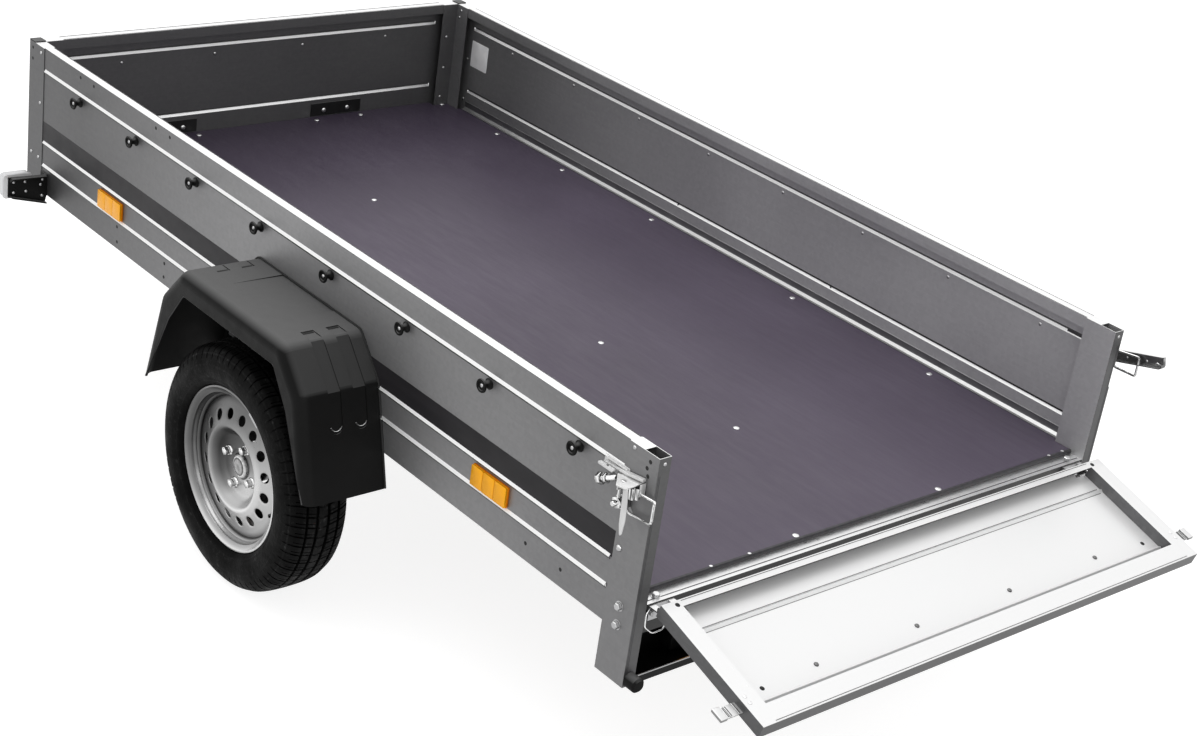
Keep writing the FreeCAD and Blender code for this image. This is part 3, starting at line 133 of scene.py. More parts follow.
def maths(tree, kind, a, b=0):
    return add(tree, "ShaderNodeMath", [(0, a), (1, b)], operation=kind).outputs[0]


def blendColours(tree, factor, a, b, kind="MIX"):
    a, b = ((*value, 1) if isinstance(value, tuple) else value for value in (a, b))
    return add(tree, "ShaderNodeMix", [(0, factor), (6, a), (7, b)], data_type="RGBA", blend_type=kind).outputs[2]


def times(tree, a, b):                       # one colour laid over another
    return blendColours(tree, 1.0, a, b, "MULTIPLY")


def shaded(tree, mask, colour, share):
    return blendColours(tree, mask, colour, times(tree, colour, grey(share)))


def facing(tree, axis, low, high):           # 0 to 1 as a face of the piece turns along an axis
    return spread(tree, coordinate(tree, "Normal", axis), 0.0, 1.0, low, high)


def along(tree, axis, low, high):            # 0 to 1 between two places on an axis
    return spread(tree, coordinate(tree, "Object", axis), 0.0, 1.0, low, high)


def towardsBed(tree):                        # 1 on faces that look across to the trailer's middle
    side = maths(tree, "SIGN", coordinate(tree, "Object", "Y"))
    return spread(tree, maths(tree, "MULTIPLY", coordinate(tree, "Normal", "Y"), side), 0.0, 1.0, -0.5, -0.8)


def dress(tree, shader, colour, grain=None, low=0.3, high=0.4):
    # the colour, and a roughness that wanders with the grain
    tree.links.new(colour, shader.inputs["Base Color"])
    if grain is not None:
        tree.links.new(spread(tree, grain, low, high), shader.inputs["Roughness"])


def bump(tree, shader, height, depth, strength):
    made = add(tree, "ShaderNodeBump", [("Distance", depth), ("Strength", strength), ("Height", height)])
    tree.links.new(made.outputs["Normal"], shader.inputs["Normal"])


# painted in the looks: a highlight on what faces up, shade on what faces down or rearward, at the front and near the
# tail, and a paler inside
galvanisedLook = {"dark": (0.25, 0.249, 0.254), "light": (0.31, 0.309, 0.313), "top": 0.93, "topFrom": (0.36, 0.52),
                  "under": 0.09, "roughness": 0.5, "metallic": 0.8, "inside": 1.9, "front": 0.47, "rear": 0.55,
                  "paintedTailShade": 0.7}
brightLook = {"dark": (0.06, 0.06, 0.062), "light": (0.1, 0.1, 0.103), "top": 0.93, "topFrom": (0.35, 0.6),
              "under": 0.06, "roughness": 0.34, "metallic": 0.3, "inside": 1.6, "front": 1.0, "rear": 0.4,
              "paintedTailShade": 1.0}
# grain of the sheet, and the share of the painted shade on the gate near its hinge
sheetGrain = {"cloud": 1.7, "cloudShare": 0.3, "spangle": 120, "spangleShare": 0.08, "streak": (2.5, 2.5, 70),
              "streakShare": 0.12, "fine": 900, "paintedHingeShade": 0.9,
              # metres ahead of the rear posts between which a painted shade changes
              "frontFrom": (1.15, 2.1), "tailFrom": (0.75, 0.2), "rearFrom": (0.1, 0.08), "hingeFrom": (-0.06, -0.03),
              "gateFrom": (0.001, 0)}


def sheetMetal(name, look):
    # rolled galvanised sheet: soft cloudy tone, faint spangle and drawn streaks; a painted highlight on what faces
    # up, painted shade on what faces down or rearward, and the bed's inside painted paler with painted shade towards
    # the front
    def fade(key):
        return along(tree, "X", *(bedRear + place for place in grain[key]))

    grain = sheetGrain
    material, tree, shader = newMaterial(name, look["light"], look["roughness"], look["metallic"])
    plain = objectSpace(tree)
    cloud = noise(tree, plain, grain["cloud"], 4)
    streak = noise(tree, objectSpace(tree, grain["streak"]), 4, 3, 0.6)
    cells = add(tree, "ShaderNodeTexVoronoi", [("Scale", grain["spangle"]), ("Vector", plain)])
    flake = add(tree, "ShaderNodeRGBToBW", [("Color", cells.outputs["Color"])]).outputs["Val"]
    tone = maths(tree, "ADD", maths(tree, "MULTIPLY", cloud, grain["cloudShare"]),
                 maths(tree, "MULTIPLY", streak, grain["streakShare"]))
    tone = maths(tree, "ADD", tone, maths(tree, "MULTIPLY", flake, grain["spangleShare"]))
    colour = ramp(tree, tone, [(0.16, look["dark"]), (0.34, look["light"])])
    # painted light: paler on the bed's inside, with painted shade at the front, on the outside near the tail and on
    # rearward faces
    colour = shaded(tree, towardsBed(tree), colour, look["inside"])
    colour = shaded(tree, fade("frontFrom"), colour, look["front"])
    outside = maths(tree, "MULTIPLY", fade("tailFrom"), maths(tree, "SUBTRACT", 1, towardsBed(tree)))
    colour = shaded(tree, outside, colour, look["paintedTailShade"])
    behind = maths(tree, "MULTIPLY", facing(tree, "X", -0.7, -0.9), fade("rearFrom"))
    colour = shaded(tree, behind, colour, look["rear"])
    # painted highlight on what faces up, darkened near the gate's hinge, and painted shade on what faces down
    crown = shaded(tree, maths(tree, "MULTIPLY", fade("hingeFrom"), fade("gateFrom")), grey(look["top"]),
                   grain["paintedHingeShade"])
    colour = blendColours(tree, facing(tree, "Z", *look["topFrom"]), colour, crown)
    colour = blendColours(tree, facing(tree, "Z", -0.4, -0.54), colour, grey(look["under"]))
    dress(tree, shader, colour, cloud, look["roughness"] - 0.04, look["roughness"] + 0.06)
    bump(tree, shader, noise(tree, plain, grain["fine"], 2), 0.00008, 0.15)
    return material


def zincMetal(name, side, top, under, roughness, metallic=0.95):
    # plated steel with a painted highlight where it faces up and painted shade where it faces down; the sides are a
    # three-part colour or a shade of grey
    side = side if isinstance(side, tuple) else grey(side)
    material, tree, shader = newMaterial(name, side, roughness, metallic)
    plain = objectSpace(tree)
    pale = tuple(min(1, value * 1.25) for value in side)
    colour = ramp(tree, noise(tree, plain, 9, 3), [(0.36, side), (0.68, pale)])
    colour = blendColours(tree, facing(tree, "Z", 0.2, 0.6), colour, grey(top))
    colour = blendColours(tree, facing(tree, "Z", -0.2, -0.6), colour, grey(under))
    dress(tree, shader, colour, noise(tree, plain, 40, 2), roughness - 0.03, roughness + 0.05)
    return material


# stops of the painted reflections on polished plating
reflectionBands = [(0.12, 0.02), (0.3, 0.3), (0.38, 0.05), (0.5, 0.42), (0.58, 0.8), (0.68, 0.22), (0.8, 0.95)]


def polishedPlating():
    # painted reflections: light and dark bands that follow the way each face is turned
    material, tree, shader = newMaterial("polishedPlating", (0.74, 0.74, 0.75), 0.14, 1.0)
    grain = noise(tree, objectSpace(tree), 60, 2)
    turned = maths(tree, "SUBTRACT", maths(tree, "MULTIPLY", coordinate(tree, "Normal", "Z"), 0.36),
                   maths(tree, "MULTIPLY", coordinate(tree, "Normal", "X"), 0.2))
    turned = maths(tree, "ADD", maths(tree, "ADD", turned, 0.5), maths(tree, "MULTIPLY", grain, 0.06))
    dress(tree, shader, ramp(tree, turned, [(place, grey(pale)) for place, pale in reflectionBands]), grain, 0.11, 0.19)
    return material


def plywoodFilm():
    material, tree, shader = newMaterial("facedPlywood", (0.13, 0.11, 0.15), 0.36, 0.0, 0.55)
    plain = objectSpace(tree)
    drawn = noise(tree, objectSpace(tree, (0.6, 9, 1)), 6, 4, 0.6)
    tone = maths(tree, "ADD", maths(tree, "MULTIPLY", noise(tree, plain, 1.6, 5, 0.55), 0.85),
                 maths(tree, "MULTIPLY", drawn, 0.15))
    film = ramp(tree, tone, [(0.32, (0.052, 0.038, 0.065)), (0.52, (0.069, 0.052, 0.085)),
                             (0.72, (0.088, 0.069, 0.107))])
    # pale scuffs where loads slid
    scuffsAndGlints = noise(tree, objectSpace(tree, (1, 7, 1)), 9, 6, 0.72)
    film = blendColours(tree, spread(tree, scuffsAndGlints, 0.0, 0.35, 0.62, 0.85), film, (0.12, 0.104, 0.13))
    # painted shade: the film darkens towards the bed's front
    film = shaded(tree, along(tree, "X", bedRear + 1.5, bedRear + 2.3), film, 0.6)
    # the plies show on the board's edges
    ply = add(tree, "ShaderNodeTexWave", [("Scale", 110), ("Distortion", 0.6), ("Vector", plain)],
              bands_direction="Z").outputs["Fac"]
    wood = ramp(tree, ply, [(0.3, (0.10, 0.055, 0.03)), (0.7, (0.32, 0.2, 0.11))])
    dress(tree, shader, blendColours(tree, facing(tree, "Z", 0.6, 0.4), film, wood), scuffsAndGlints, 0.34, 0.52)
    bump(tree, shader, noise(tree, objectSpace(tree, (4, 40, 40)), 30, 3), 0.0003, 0.25)
    return material


def mouldedPlastic(name, dark, light, roughness, grain=1400):
    material, tree, shader = newMaterial(name, grey(light), roughness, 0.0, 0.09)
    plain = objectSpace(tree)
    colour = ramp(tree, noise(tree, plain, 5, 4), [(0.3, grey(dark)), (0.7, grey(light))])
    # paler on what faces up, from dust and a painted top light, and a darker painted shade below
    colour = blendColours(tree, facing(tree, "Z", 0.5, 1.0), colour, grey(light * 13.6))
    colour = blendColours(tree, facing(tree, "Z", -0.3, -0.8), colour, grey(dark * 0.5))
    dress(tree, shader, colour, noise(tree, plain, 35, 3), roughness - 0.07, roughness + 0.07)
    bump(tree, shader, noise(tree, plain, grain, 2), 0.0004, 0.35)
    return material


def clouded(name, colour, roughness, dark, light, grain, stretch=(1, 1, 1), specular=0.5, rough=None, fine=None):
    # an even film or paint: grain is the cloud's scale and detail, rough the roughness's grain and range
    material, tree, shader = newMaterial(name, colour, roughness, 0.0, specular)
    tone = ramp(tree, noise(tree, objectSpace(tree, stretch), *grain), [(0.3, dark), (0.7, light)])
    if rough:
        dress(tree, shader, tone, noise(tree, objectSpace(tree), rough[0], 3), *rough[1:])
    else:
        dress(tree, shader, tone)
    if fine:
        bump(tree, shader, noise(tree, objectSpace(tree), fine, 2), 0.0005, 0.35)
    return material


# radius and paleness of the rings on the tyre, the wheel and the hub's cap: painted shade in the grooves and folds,
# painted highlights on the crests
tyreTones = [(183, 0.3), (190, 0.3), (195, 1.3), (198, 0.5), (203, 1.1), (208, 0.55), (226, 0.7), (229, 1.5),
             (232, 0.6), (245, 0.9), (250, 0.4), (253, 2.8), (255.5, 0.5), (260, 0.7), (264, 0.35), (266.4, 0.12),
             (269.5, 0.25), (270.4, 1.0), (273, 1.5)]
rimTones = [(0, 0.75), (30, 0.75), (62, 0.62), (76, 0.5), (86, 0.75), (92, 1.25), (101, 1.2), (112, 0.92),
            (141, 0.85), (152, 0.55), (157, 0.3), (160, 0.55), (163, 0.9), (166, 0.55), (172, 0.72), (179, 1.3),
            (183, 1.4)]
capTones = [(0.0, 0.3), (0.5, 0.38), (0.6, 0.2), (0.67, 0.08), (0.74, 0.7), (0.88, 0.5), (0.95, 0.15), (1.0, 0.35)]


def wheelDistance(tree):                     # from the wheels' axis, in metres
    ahead = maths(tree, "SUBTRACT", coordinate(tree, "Object", "X"), wheelCentre.x)
    above = maths(tree, "SUBTRACT", coordinate(tree, "Object", "Z"), wheelCentre.z)
    return maths(tree, "SQRT", maths(tree, "ADD", maths(tree, "MULTIPLY", ahead, ahead),
                                     maths(tree, "MULTIPLY", above, above)))


def tyreRubber():
    # painted shade: blacker in the grooves and folds; painted highlights: paler on the blocks and rings, with painted
    # glints in small dabs
    material, tree, shader = newMaterial("tyreRubber", grey(0.02), 0.5, 0.0, 0.06)
    plain = objectSpace(tree)
    start, width = 180, 100                  # millimetres from the axis that the ramp covers
    share = maths(tree, "DIVIDE", maths(tree, "SUBTRACT", wheelDistance(tree), start * mm), width * mm)
    tone = ramp(tree, share, [((radius - start) / width, grey(0.009 * pale)) for radius, pale in tyreTones])
    cloud = ramp(tree, noise(tree, plain, 11, 5, 0.65), [(0.35, grey(0.25)), (0.7, grey(1.0))])
    # painted glints: small pale dabs on the rubber
    scuffsAndGlints = ramp(tree, noise(tree, plain, 85, 4, 0.7), [(0.45, grey(0.6)), (0.58, grey(1.0)), (0.68, grey(4.5))])
    dress(tree, shader, times(tree, times(tree, tone, scuffsAndGlints), cloud), noise(tree, plain, 16, 4, 0.6), 0.45, 0.75)
    bump(tree, shader, noise(tree, plain, 150, 4, 0.7), 0.0016, 0.6)
    return material


def capPlating():
    # pressed cap with a plain middle, painted shade in its groove and a painted highlight on its rolled edge
    material, tree, shader = newMaterial("capPlating", grey(0.5), 0.24, 1.0)
    share = maths(tree, "DIVIDE", wheelDistance(tree), hubSizes["cap"][-2][0] * mm)
    cloud = ramp(tree, noise(tree, objectSpace(tree), 130, 3), [(0.35, grey(0.6)), (0.65, grey(1.0))])
    dress(tree, shader, times(tree, ramp(tree, share, [(place, grey(pale)) for place, pale in capTones]), cloud))
    return material


def rimPaint():
    # silver paint, with painted shade in the folds and painted highlights on the crests
    material, tree, shader = newMaterial("silverPaint", (0.5, 0.5, 0.51), 0.3, 0.8)
    plain = objectSpace(tree)
    reach = 200                              # millimetres from the axis that the ramp covers
    tone = ramp(tree, maths(tree, "DIVIDE", wheelDistance(tree), reach * mm),
                [(radius / reach, grey(0.5 * pale)) for radius, pale in rimTones])
    # painted shade on what faces down, painted highlight on what faces up
    turned = ramp(tree, spread(tree, coordinate(tree, "Normal", "Z"), 0.0, 1.0, -0.9, 0.9),
                  [(0.1, grey(0.35)), (0.5, grey(0.8)), (0.9, grey(1.0))])
    tone = times(tree, tone, turned)
    # painted shade and light: darker towards the top and the front, paler towards the ground, and more so in the bowl
    slant = maths(tree, "ADD", coordinate(tree, "Object", "Z"),
                  maths(tree, "MULTIPLY", coordinate(tree, "Object", "X"), 0.8))
    middle = wheelCentre.z + wheelCentre.x * 0.8
    film = ramp(tree, spread(tree, slant, 0.0, 1.0, middle + 0.12, middle - 0.12),
                [(0.0, grey(0.38)), (0.4, grey(0.72)), (0.75, grey(1.3)), (1.0, grey(1.5))])
    tone = times(tree, tone, film)
    bowl = ramp(tree, spread(tree, slant, 0.0, 1.0, middle + 0.075, middle - 0.075),
                [(0.0, grey(0.3)), (0.42, grey(0.55)), (0.7, grey(1.0)), (0.92, grey(1.7))])
    tone = blendColours(tree, spread(tree, wheelDistance(tree), 1.0, 0.0, 0.076, 0.088), tone,
                        times(tree, tone, bowl))
    flake = ramp(tree, noise(tree, plain, 2600, 1), [(0.3, grey(0.85)), (0.7, grey(1.0))])
    dress(tree, shader, times(tree, tone, flake), noise(tree, plain, 25, 3), 0.26, 0.36)
    return material


def lens(name, colour, dark):
    # clear moulded plastic with a fine grid of mirroring prisms behind the face
    material, tree, shader = newMaterial(name, colour, 0.25, 0.4, 0.12)
    shader.inputs["Coat Weight"].default_value = 0.08
    shader.inputs["Coat Roughness"].default_value = 0.05
    grid = add(tree, "ShaderNodeTexVoronoi", [("Scale", 330), ("Randomness", 0.0), ("Vector", objectSpace(tree))],
               distance="CHEBYCHEV").outputs["Distance"]
    dress(tree, shader, ramp(tree, grid, [(0.1, colour), (0.6, dark)]))
    bump(tree, shader, grid, 0.0008, 0.4)
    return material


hubSizes = {
    "cap": [(0, 38.5), (9, 38.3), (15, 37.6), (18.2, 36.9), (19.2, 36.3), (20.6, 36.5), (23.4, 35.6), (25.8, 34.1),
            (27.3, 32.1), (28.6, 29.5), (28.6, 28), (0, 28)],
    "back": [(17.2, -36), (42, -36), (42, 17), (64, 17), (64, 26), (28, 26), (28, 28.6), (17.2, 20), (17.2, -36)],
    # profile of the dark disc that stands for the shade behind the vents
    "ventShade": [(46, -16), (60, -16), (66, -14), (128, -14), (138, -11), (143, -8), (143, -6.6), (137, -9.4),
               (127, -12.4), (66.6, -12.4), (60.6, -14.4), (46, -14.4), (46, -16)],
    "seat": [(0, 0), (12.6, 0), (12.2, 2.2), (10.6, 3.8), (9.8, 4.4), (9.8, 5.6), (0, 5.6)],
    "tip": [(0, 0), (6.6, 0), (6.2, 0.9), (5, 1.3), (0, 1.5)],
    "valve": [(0, 0), (5.6, 0), (5.2, 3), (3.9, 5), (3.9, 6), (4.3, 6.5), (4.3, 11), (3.2, 12), (0, 12)],
    "valveAt": (150, 198, 33), "valveAlong": (0.3, 0.95, 0), "bolts": 4, "boltCircle": 50, "boltPhase": 20,
    "boltFace": 30, "head": (9.4, 9.6), "headAt": 5.4, "tipAt": 14.9,
    "weight": ((-19, 174.5), (19, 181)), "weightAt": 118, "weightBand": 178, "weightAcross": (58.4, 63.0),
}
finishes = {
    "galvanised_sheet": sheetMetal("galvanisedSheet", galvanisedLook),
    "bright_sheet": sheetMetal("brightSheet", brightLook),
    "bright_zinc": zincMetal("brightZinc", (0.34, 0.34, 0.345), 0.93, 0.1, 0.3),
    "faced_plywood": plywoodFilm(),
    "black_paint": clouded("blackPaint", grey(0.02), 0.38, grey(0.004), grey(0.009), (12, 3), specular=0.1,
                           rough=(60, 0.3, 0.48), fine=500),
    "black_plastic": mouldedPlastic("blackPlastic", 0.005, 0.009, 0.46),
    "black_rubber": mouldedPlastic("blackRubber", 0.006, 0.012, 0.7, 600),
    "tyre": tyreRubber(),
    "silver_paint": rimPaint(),
    "amber_lens": lens("amberLens", (1.0, 0.5, 0.01), (1.0, 0.37, 0.0)),
    "clear_lens": lens("clearLens", (0.9, 0.9, 0.9), (0.6, 0.6, 0.62)),
    "red_lens": lens("redLens", (0.6, 0.01, 0.01), (0.3, 0.0, 0.0)),
}
special = {                                  # nodes whose tone differs from the rest of their slot
    "edge_strips": zincMetal("stripZinc", (0.2, 0.2, 0.205), 0.55, 0.1, 0.34),
    # painted shade: the sill's sides near black, with the painted highlight on its top
    "rear_sill": zincMetal("sillZinc", 0.035, 0.93, 0.05, 0.3),
    "backing_plates": zincMetal("plateSteel", 0.035, 0.2, 0.03, 0.4),
}
details = {                                  # materials of single pieces
    "chrome": polishedPlating(),
    "cap": capPlating(),
    "latch": zincMetal("latchZinc", 0.62, 0.97, 0.1, 0.3, 0.4),
    "lever": zincMetal("leverZinc", 0.12, 0.93, 0.08, 0.3),
    "striker": zincMetal("strikerZinc", 0.22, 0.85, 0.1, 0.34, 0.6),
    "stud": zincMetal("studZinc", 0.05, 0.2, 0.05, 0.3),
    "amber": lens("amberBase", (0.85, 0.27, 0.0), (0.6, 0.15, 0.0)),
    # painted highlight: a paler plastic for the guards' beads
    "guardEdge": mouldedPlastic("guardEdge", 0.08, 0.1, 0.35),
    "stripe": clouded("stripeFilm", (0.05, 0.048, 0.052), 0.4, (0.019, 0.018, 0.02), (0.029, 0.027, 0.03), (5, 4),
                      (1, 1, 6), 0.12, (40, 0.28, 0.42)),
    "label": clouded("blankLabel", grey(0.8), 0.4, grey(0.8), grey(0.93), (30, 3)),
    # painted shade: near black for holes, slots and gaps
    "paintedHoleShade": clouded("holeDark", grey(0.008), 0.8, grey(0.005), grey(0.014), (90, 2)),
    # painted shadow: dark strips along edges and folds
    "paintedShadow": clouded("darkEdging", grey(0.03), 0.45, (0.018, 0.017, 0.02), (0.04, 0.038, 0.043), (12, 3),
                      (1, 6, 1)),
}
for part in frame["record"]["subparts"]:
    node = nodes[part["node"]]
    node.data.materials.clear()
    node.data.materials.append(special.get(part["node"], finishes[part["material_slot"]]))
print("materials: %d finishes on %d solids" % (len(finishes), len(nodes)))


def finishPiece(name, mesh, body="chassis", slot="bright_zinc", material=None, smooth=38):
    # a plain mesh with its place in its points becomes a piece of that body
    obj = bpy.data.objects.new(name, mesh)
    scene.collection.objects.link(obj)
    mesh.materials.clear()
    mesh.materials.append(details.get(material, finishes[slot]))
    if smooth:
        mesh.shade_smooth()
        mesh.set_sharp_from_angle(angle=math.radians(smooth))
    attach(obj, body)
    return obj


def plainMesh(obj):
    # the evaluated shape of a helper object, which is then dropped
    scene.collection.objects.link(obj)
    bpy.context.view_layer.update()
    made = bpy.data.meshes.new_from_object(obj.evaluated_get(bpy.context.evaluated_depsgraph_get()))
    obj.modifiers.clear()
    bpy.data.objects.remove(obj)
    return made


def meshOf(work, name):
    mesh = bpy.data.meshes.new(name)
    work.to_mesh(mesh)
    work.free()
    return mesh


def mirroredMesh(mesh):
    # the same mesh on the trailer's right side, faces still outward
    other = mesh.copy()
    other.name = mesh.name + "Other"
    other.transform(Matrix.Scale(-1, 4, (0, 1, 0)))
    other.flip_normals()
    return other


def gather(name, meshes, body="chassis", slot="bright_zinc", material=None, smooth=38, both=False):
    # meshes become one piece, with their mirror images on the right side if both is set
    work = bmesh.new()
    for mesh in meshes + [mirroredMesh(mesh) for mesh in meshes if both]:
        work.from_mesh(mesh)
    return finishPiece(name, meshOf(work, name), body, slot, material, smooth)


def newTree(name, inputs):
    tree = bpy.data.node_groups.new(name, "GeometryNodeTree")
    for label, kind in (("Geometry", "Geometry"), *inputs):
        tree.interface.new_socket(label, in_out="INPUT", socket_type="NodeSocket" + kind)
    tree.interface.new_socket("Geometry", in_out="OUTPUT", socket_type="NodeSocketGeometry")
    return tree, tree.nodes.new("NodeGroupInput").outputs


def closeTree(tree, given, shape):
    # the shape takes the material and goes out
    done = add(tree, "GeometryNodeSetMaterial", [(0, shape), ("Material", given["Finish"])])
    add(tree, "NodeGroupOutput", [(0, done.outputs[0])])
    return tree


def placeCopies(tree, points, shape, rotation):
    copies = add(tree, "GeometryNodeInstanceOnPoints", [("Points", points), ("Instance", shape),
                                                        ("Rotation", rotation)])
    return add(tree, "GeometryNodeRealizeInstances", [(0, copies.outputs[0])]).outputs[0]


def onFacing(tree, given, shape):
    # the shape on every point, turned to the point's facing
    way = add(tree, "GeometryNodeInputNamedAttribute", [("Name", "facing")], data_type="FLOAT_VECTOR")
    turn = add(tree, "FunctionNodeAlignRotationToVector", [("Vector", way.outputs["Attribute"])], axis="Z")
    return closeTree(tree, given, placeCopies(tree, given["Geometry"], shape, turn.outputs[0]))


def ringTree():
    # turns one sector about the Y axis as often as asked, and welds the seams
    tree, given = newTree("ringOfSectors", [("Count", "Int"), ("Weld", "Float"), ("Finish", "Material")])
    line = add(tree, "GeometryNodeMeshLine", [("Count", given["Count"]), ("Offset", (0, 0, 0))])
    index = add(tree, "GeometryNodeInputIndex").outputs[0]
    angle = maths(tree, "MULTIPLY", index, maths(tree, "DIVIDE", math.tau, given["Count"]))
    turn = add(tree, "ShaderNodeCombineXYZ", [("Y", angle)])
    real = placeCopies(tree, line.outputs[0], given["Geometry"], turn.outputs[0])
    weld = add(tree, "GeometryNodeMergeByDistance", [(0, real), ("Distance", given["Weld"])])
    return closeTree(tree, given, weld.outputs[0])


def raised(tree, shape, height):
    place = add(tree, "ShaderNodeCombineXYZ", [("Z", height)])
    return add(tree, "GeometryNodeTransform", [(0, shape.outputs[0]), ("Translation", place.outputs[0])])


def headTree():
    # a hexagon head with a chamfer and a washer on every point
    tree, given = newTree("fastenerHeads", [
        ("Sides", "Int"), ("Head radius", "Float"), ("Head height", "Float"), ("Washer radius", "Float"),
        ("Washer height", "Float"), ("Finish", "Material")])
    radius, height = given["Head radius"], given["Head height"]
    washer = add(tree, "GeometryNodeMeshCylinder", [("Vertices", 20), ("Radius", given["Washer radius"]),
                                                    ("Depth", given["Washer height"])])
    head = add(tree, "GeometryNodeMeshCylinder", [("Vertices", given["Sides"]), ("Radius", radius),
                                                  ("Depth", height)])
    cap = add(tree, "GeometryNodeMeshCone", [
        ("Vertices", given["Sides"]), ("Radius Top", maths(tree, "MULTIPLY", radius, 0.8)),
        ("Radius Bottom", radius), ("Depth", maths(tree, "MULTIPLY", height, 0.22))])
    half = maths(tree, "MULTIPLY", height, 0.5)
    lift = maths(tree, "ADD", half, given["Washer height"])
    joined = add(tree, "GeometryNodeJoinGeometry")
    for shape in (washer, raised(tree, head, lift), raised(tree, cap, maths(tree, "ADD", lift, half))):
        tree.links.new(shape.outputs[0], joined.inputs[0])
    return onFacing(tree, given, joined.outputs[0])


def domeTree():
    # a rivet or carriage bolt head on every point
    tree, given = newTree("domedHeads", [("Head radius", "Float"), ("Head height", "Float"), ("Finish", "Material")])
    ball = add(tree, "GeometryNodeMeshUVSphere", [("Segments", 16), ("Rings", 8), ("Radius", 1.0)])
    size = add(tree, "ShaderNodeCombineXYZ", [("X", given["Head radius"]), ("Y", given["Head radius"]),
                                              ("Z", given["Head height"])])
    flat = add(tree, "GeometryNodeTransform", [(0, ball.outputs[0]), ("Scale", size.outputs[0])])
    return onFacing(tree, given, flat.outputs[0])


def pieceTree():
    # a ready-made piece on every point
    tree, given = newTree("piecesOnPoints", [("Piece", "Object"), ("Finish", "Material")])
    piece = add(tree, "GeometryNodeObjectInfo", [("Object", given["Piece"])])
    return onFacing(tree, given, piece.outputs["Geometry"])


def grow(name, mesh, tree, values):
    # runs a tree on a mesh and returns the result as a plain mesh
    obj = bpy.data.objects.new(name, mesh)
    modifier = obj.modifiers.new("tree", "NODES")
    modifier.node_group = tree
    for item in tree.interface.items_tree:
        if item.item_type == "SOCKET" and item.in_out == "INPUT" and item.name in values:
            modifier[item.identifier] = values[item.name]
    grown = plainMesh(obj)
    grown.name = name
    return grown


ring, heads, domes, pieces = ringTree(), headTree(), domeTree(), pieceTree()


def pointMesh(name, spots):
    # spots are (place, facing)
    mesh = bpy.data.meshes.new(name)
    mesh.from_pydata([place for place, way in spots], [], [])
    attribute = mesh.attributes.new("facing", "FLOAT_VECTOR", "POINT")
    for item, (place, way) in zip(attribute.data, spots):
        item.vector = way
    return mesh


def bothSides(spots):
    return spots + [(Vector((p.x, -p.y, p.z)), (f[0], -f[1], f[2])) for p, f in spots]


def grid(xs, ys):
    return [(x, y) for x in xs for y in ys]


def spotsAt(way, x, spots):         # across the trailer, at one place along it
    return [(onBed(x, y, z), way) for y, z in spots]


def spotsBeside(way, y, spots):          # along the trailer, at one distance from its middle
    return [(onBed(x, y, z), way) for x, z in spots]


headSizes = {"sides": 6, "washer": 1.25, "washerHeight": 1.2}


def hexHeads(name, spots, radius, height, body="chassis", slot="bright_zinc"):
    grown = grow(name, pointMesh(name, spots), heads, {
        "Sides": headSizes["sides"], "Head radius": radius * mm, "Head height": height * mm,
        "Washer radius": radius * headSizes["washer"] * mm, "Washer height": headSizes["washerHeight"] * mm,
        "Finish": finishes[slot]})
    return finishPiece(name, grown, body, slot, None, 30)


def domeHeads(name, spots, radius, height, body="chassis", slot="bright_zinc", material=None):
    grown = grow(name, pointMesh(name, spots), domes, {
        "Head radius": radius * mm, "Head height": height * mm, "Finish": details.get(material, finishes[slot])})
    return finishPiece(name, grown, body, slot, material, 60)


def copiesOf(name, mesh, spots, body, slot, smooth=38):
    sample = bpy.data.objects.new(name + ".sample", mesh)
    scene.collection.objects.link(sample)
    grown = grow(name, pointMesh(name, spots), pieces, {"Piece": sample, "Finish": finishes[slot]})
    bpy.data.objects.remove(sample)
    return finishPiece(name, grown, body, slot, None, smooth)


def lathe(name, profile, steps=32):
    # profile is (radius, height), closed on the Z axis or into a loop
    work = bmesh.new()
    rings = []
    for number in range(steps):
        x, y = [mm * way(math.tau * number / steps) for way in (math.cos, math.sin)]
        rings.append([work.verts.new((r * x, r * y, h * mm)) for r, h in profile])
    for near, far in zip(rings, rings[1:] + rings[:1]):
        for k in range(len(profile) - 1):
            work.faces.new((near[k], far[k], far[k + 1], near[k + 1]))
    bmesh.ops.remove_doubles(work, verts=work.verts, dist=1e-6)
    bmesh.ops.dissolve_degenerate(work, edges=work.edges, dist=1e-7)
    bmesh.ops.recalc_face_normals(work, faces=work.faces)
    return meshOf(work, name)


def placed(mesh, centre, way):
    # moves a mesh to a centre with its Z axis along a unit vector
    mesh.transform(Matrix.Translation(centre) @ Vector(way).to_track_quat("Z", "Y").to_matrix().to_4x4())
    return mesh


def lathed(profile, centre, way, steps=32):
    return placed(lathe("turned", profile, steps), centre, way)


def rod(radius, length, centre, way, steps=24):
    return lathed([(0, 0), (radius, 0), (radius, length), (0, length)], centre, way, steps)


def nutMesh(centre, way, radius, height):
    work = bmesh.new()
    bmesh.ops.create_cone(work, segments=6, radius1=radius * mm, radius2=radius * mm, depth=height * mm,
                          cap_ends=True)
    bmesh.ops.bevel(work, geom=list(work.edges), offset=0.5 * mm, segments=2, profile=0.5, affect="EDGES")
    return placed(meshOf(work, "nut"), Vector(centre) + Vector(way) * height * mm / 2, way)


def turnOutward(work):
    # turns a closed shape's faces outward by the sign of its volume
    bmesh.ops.recalc_face_normals(work, faces=work.faces)
    work.verts.ensure_lookup_table()
    start = work.verts[0].co.copy()
    volume = 0.0
    for face in work.faces:
        a, *others = [vert.co - start for vert in face.verts]
        volume += sum(a.dot(b.cross(c)) for b, c in zip(others, others[1:]))
    if volume < 0:
        bmesh.ops.reverse_faces(work, faces=work.faces)


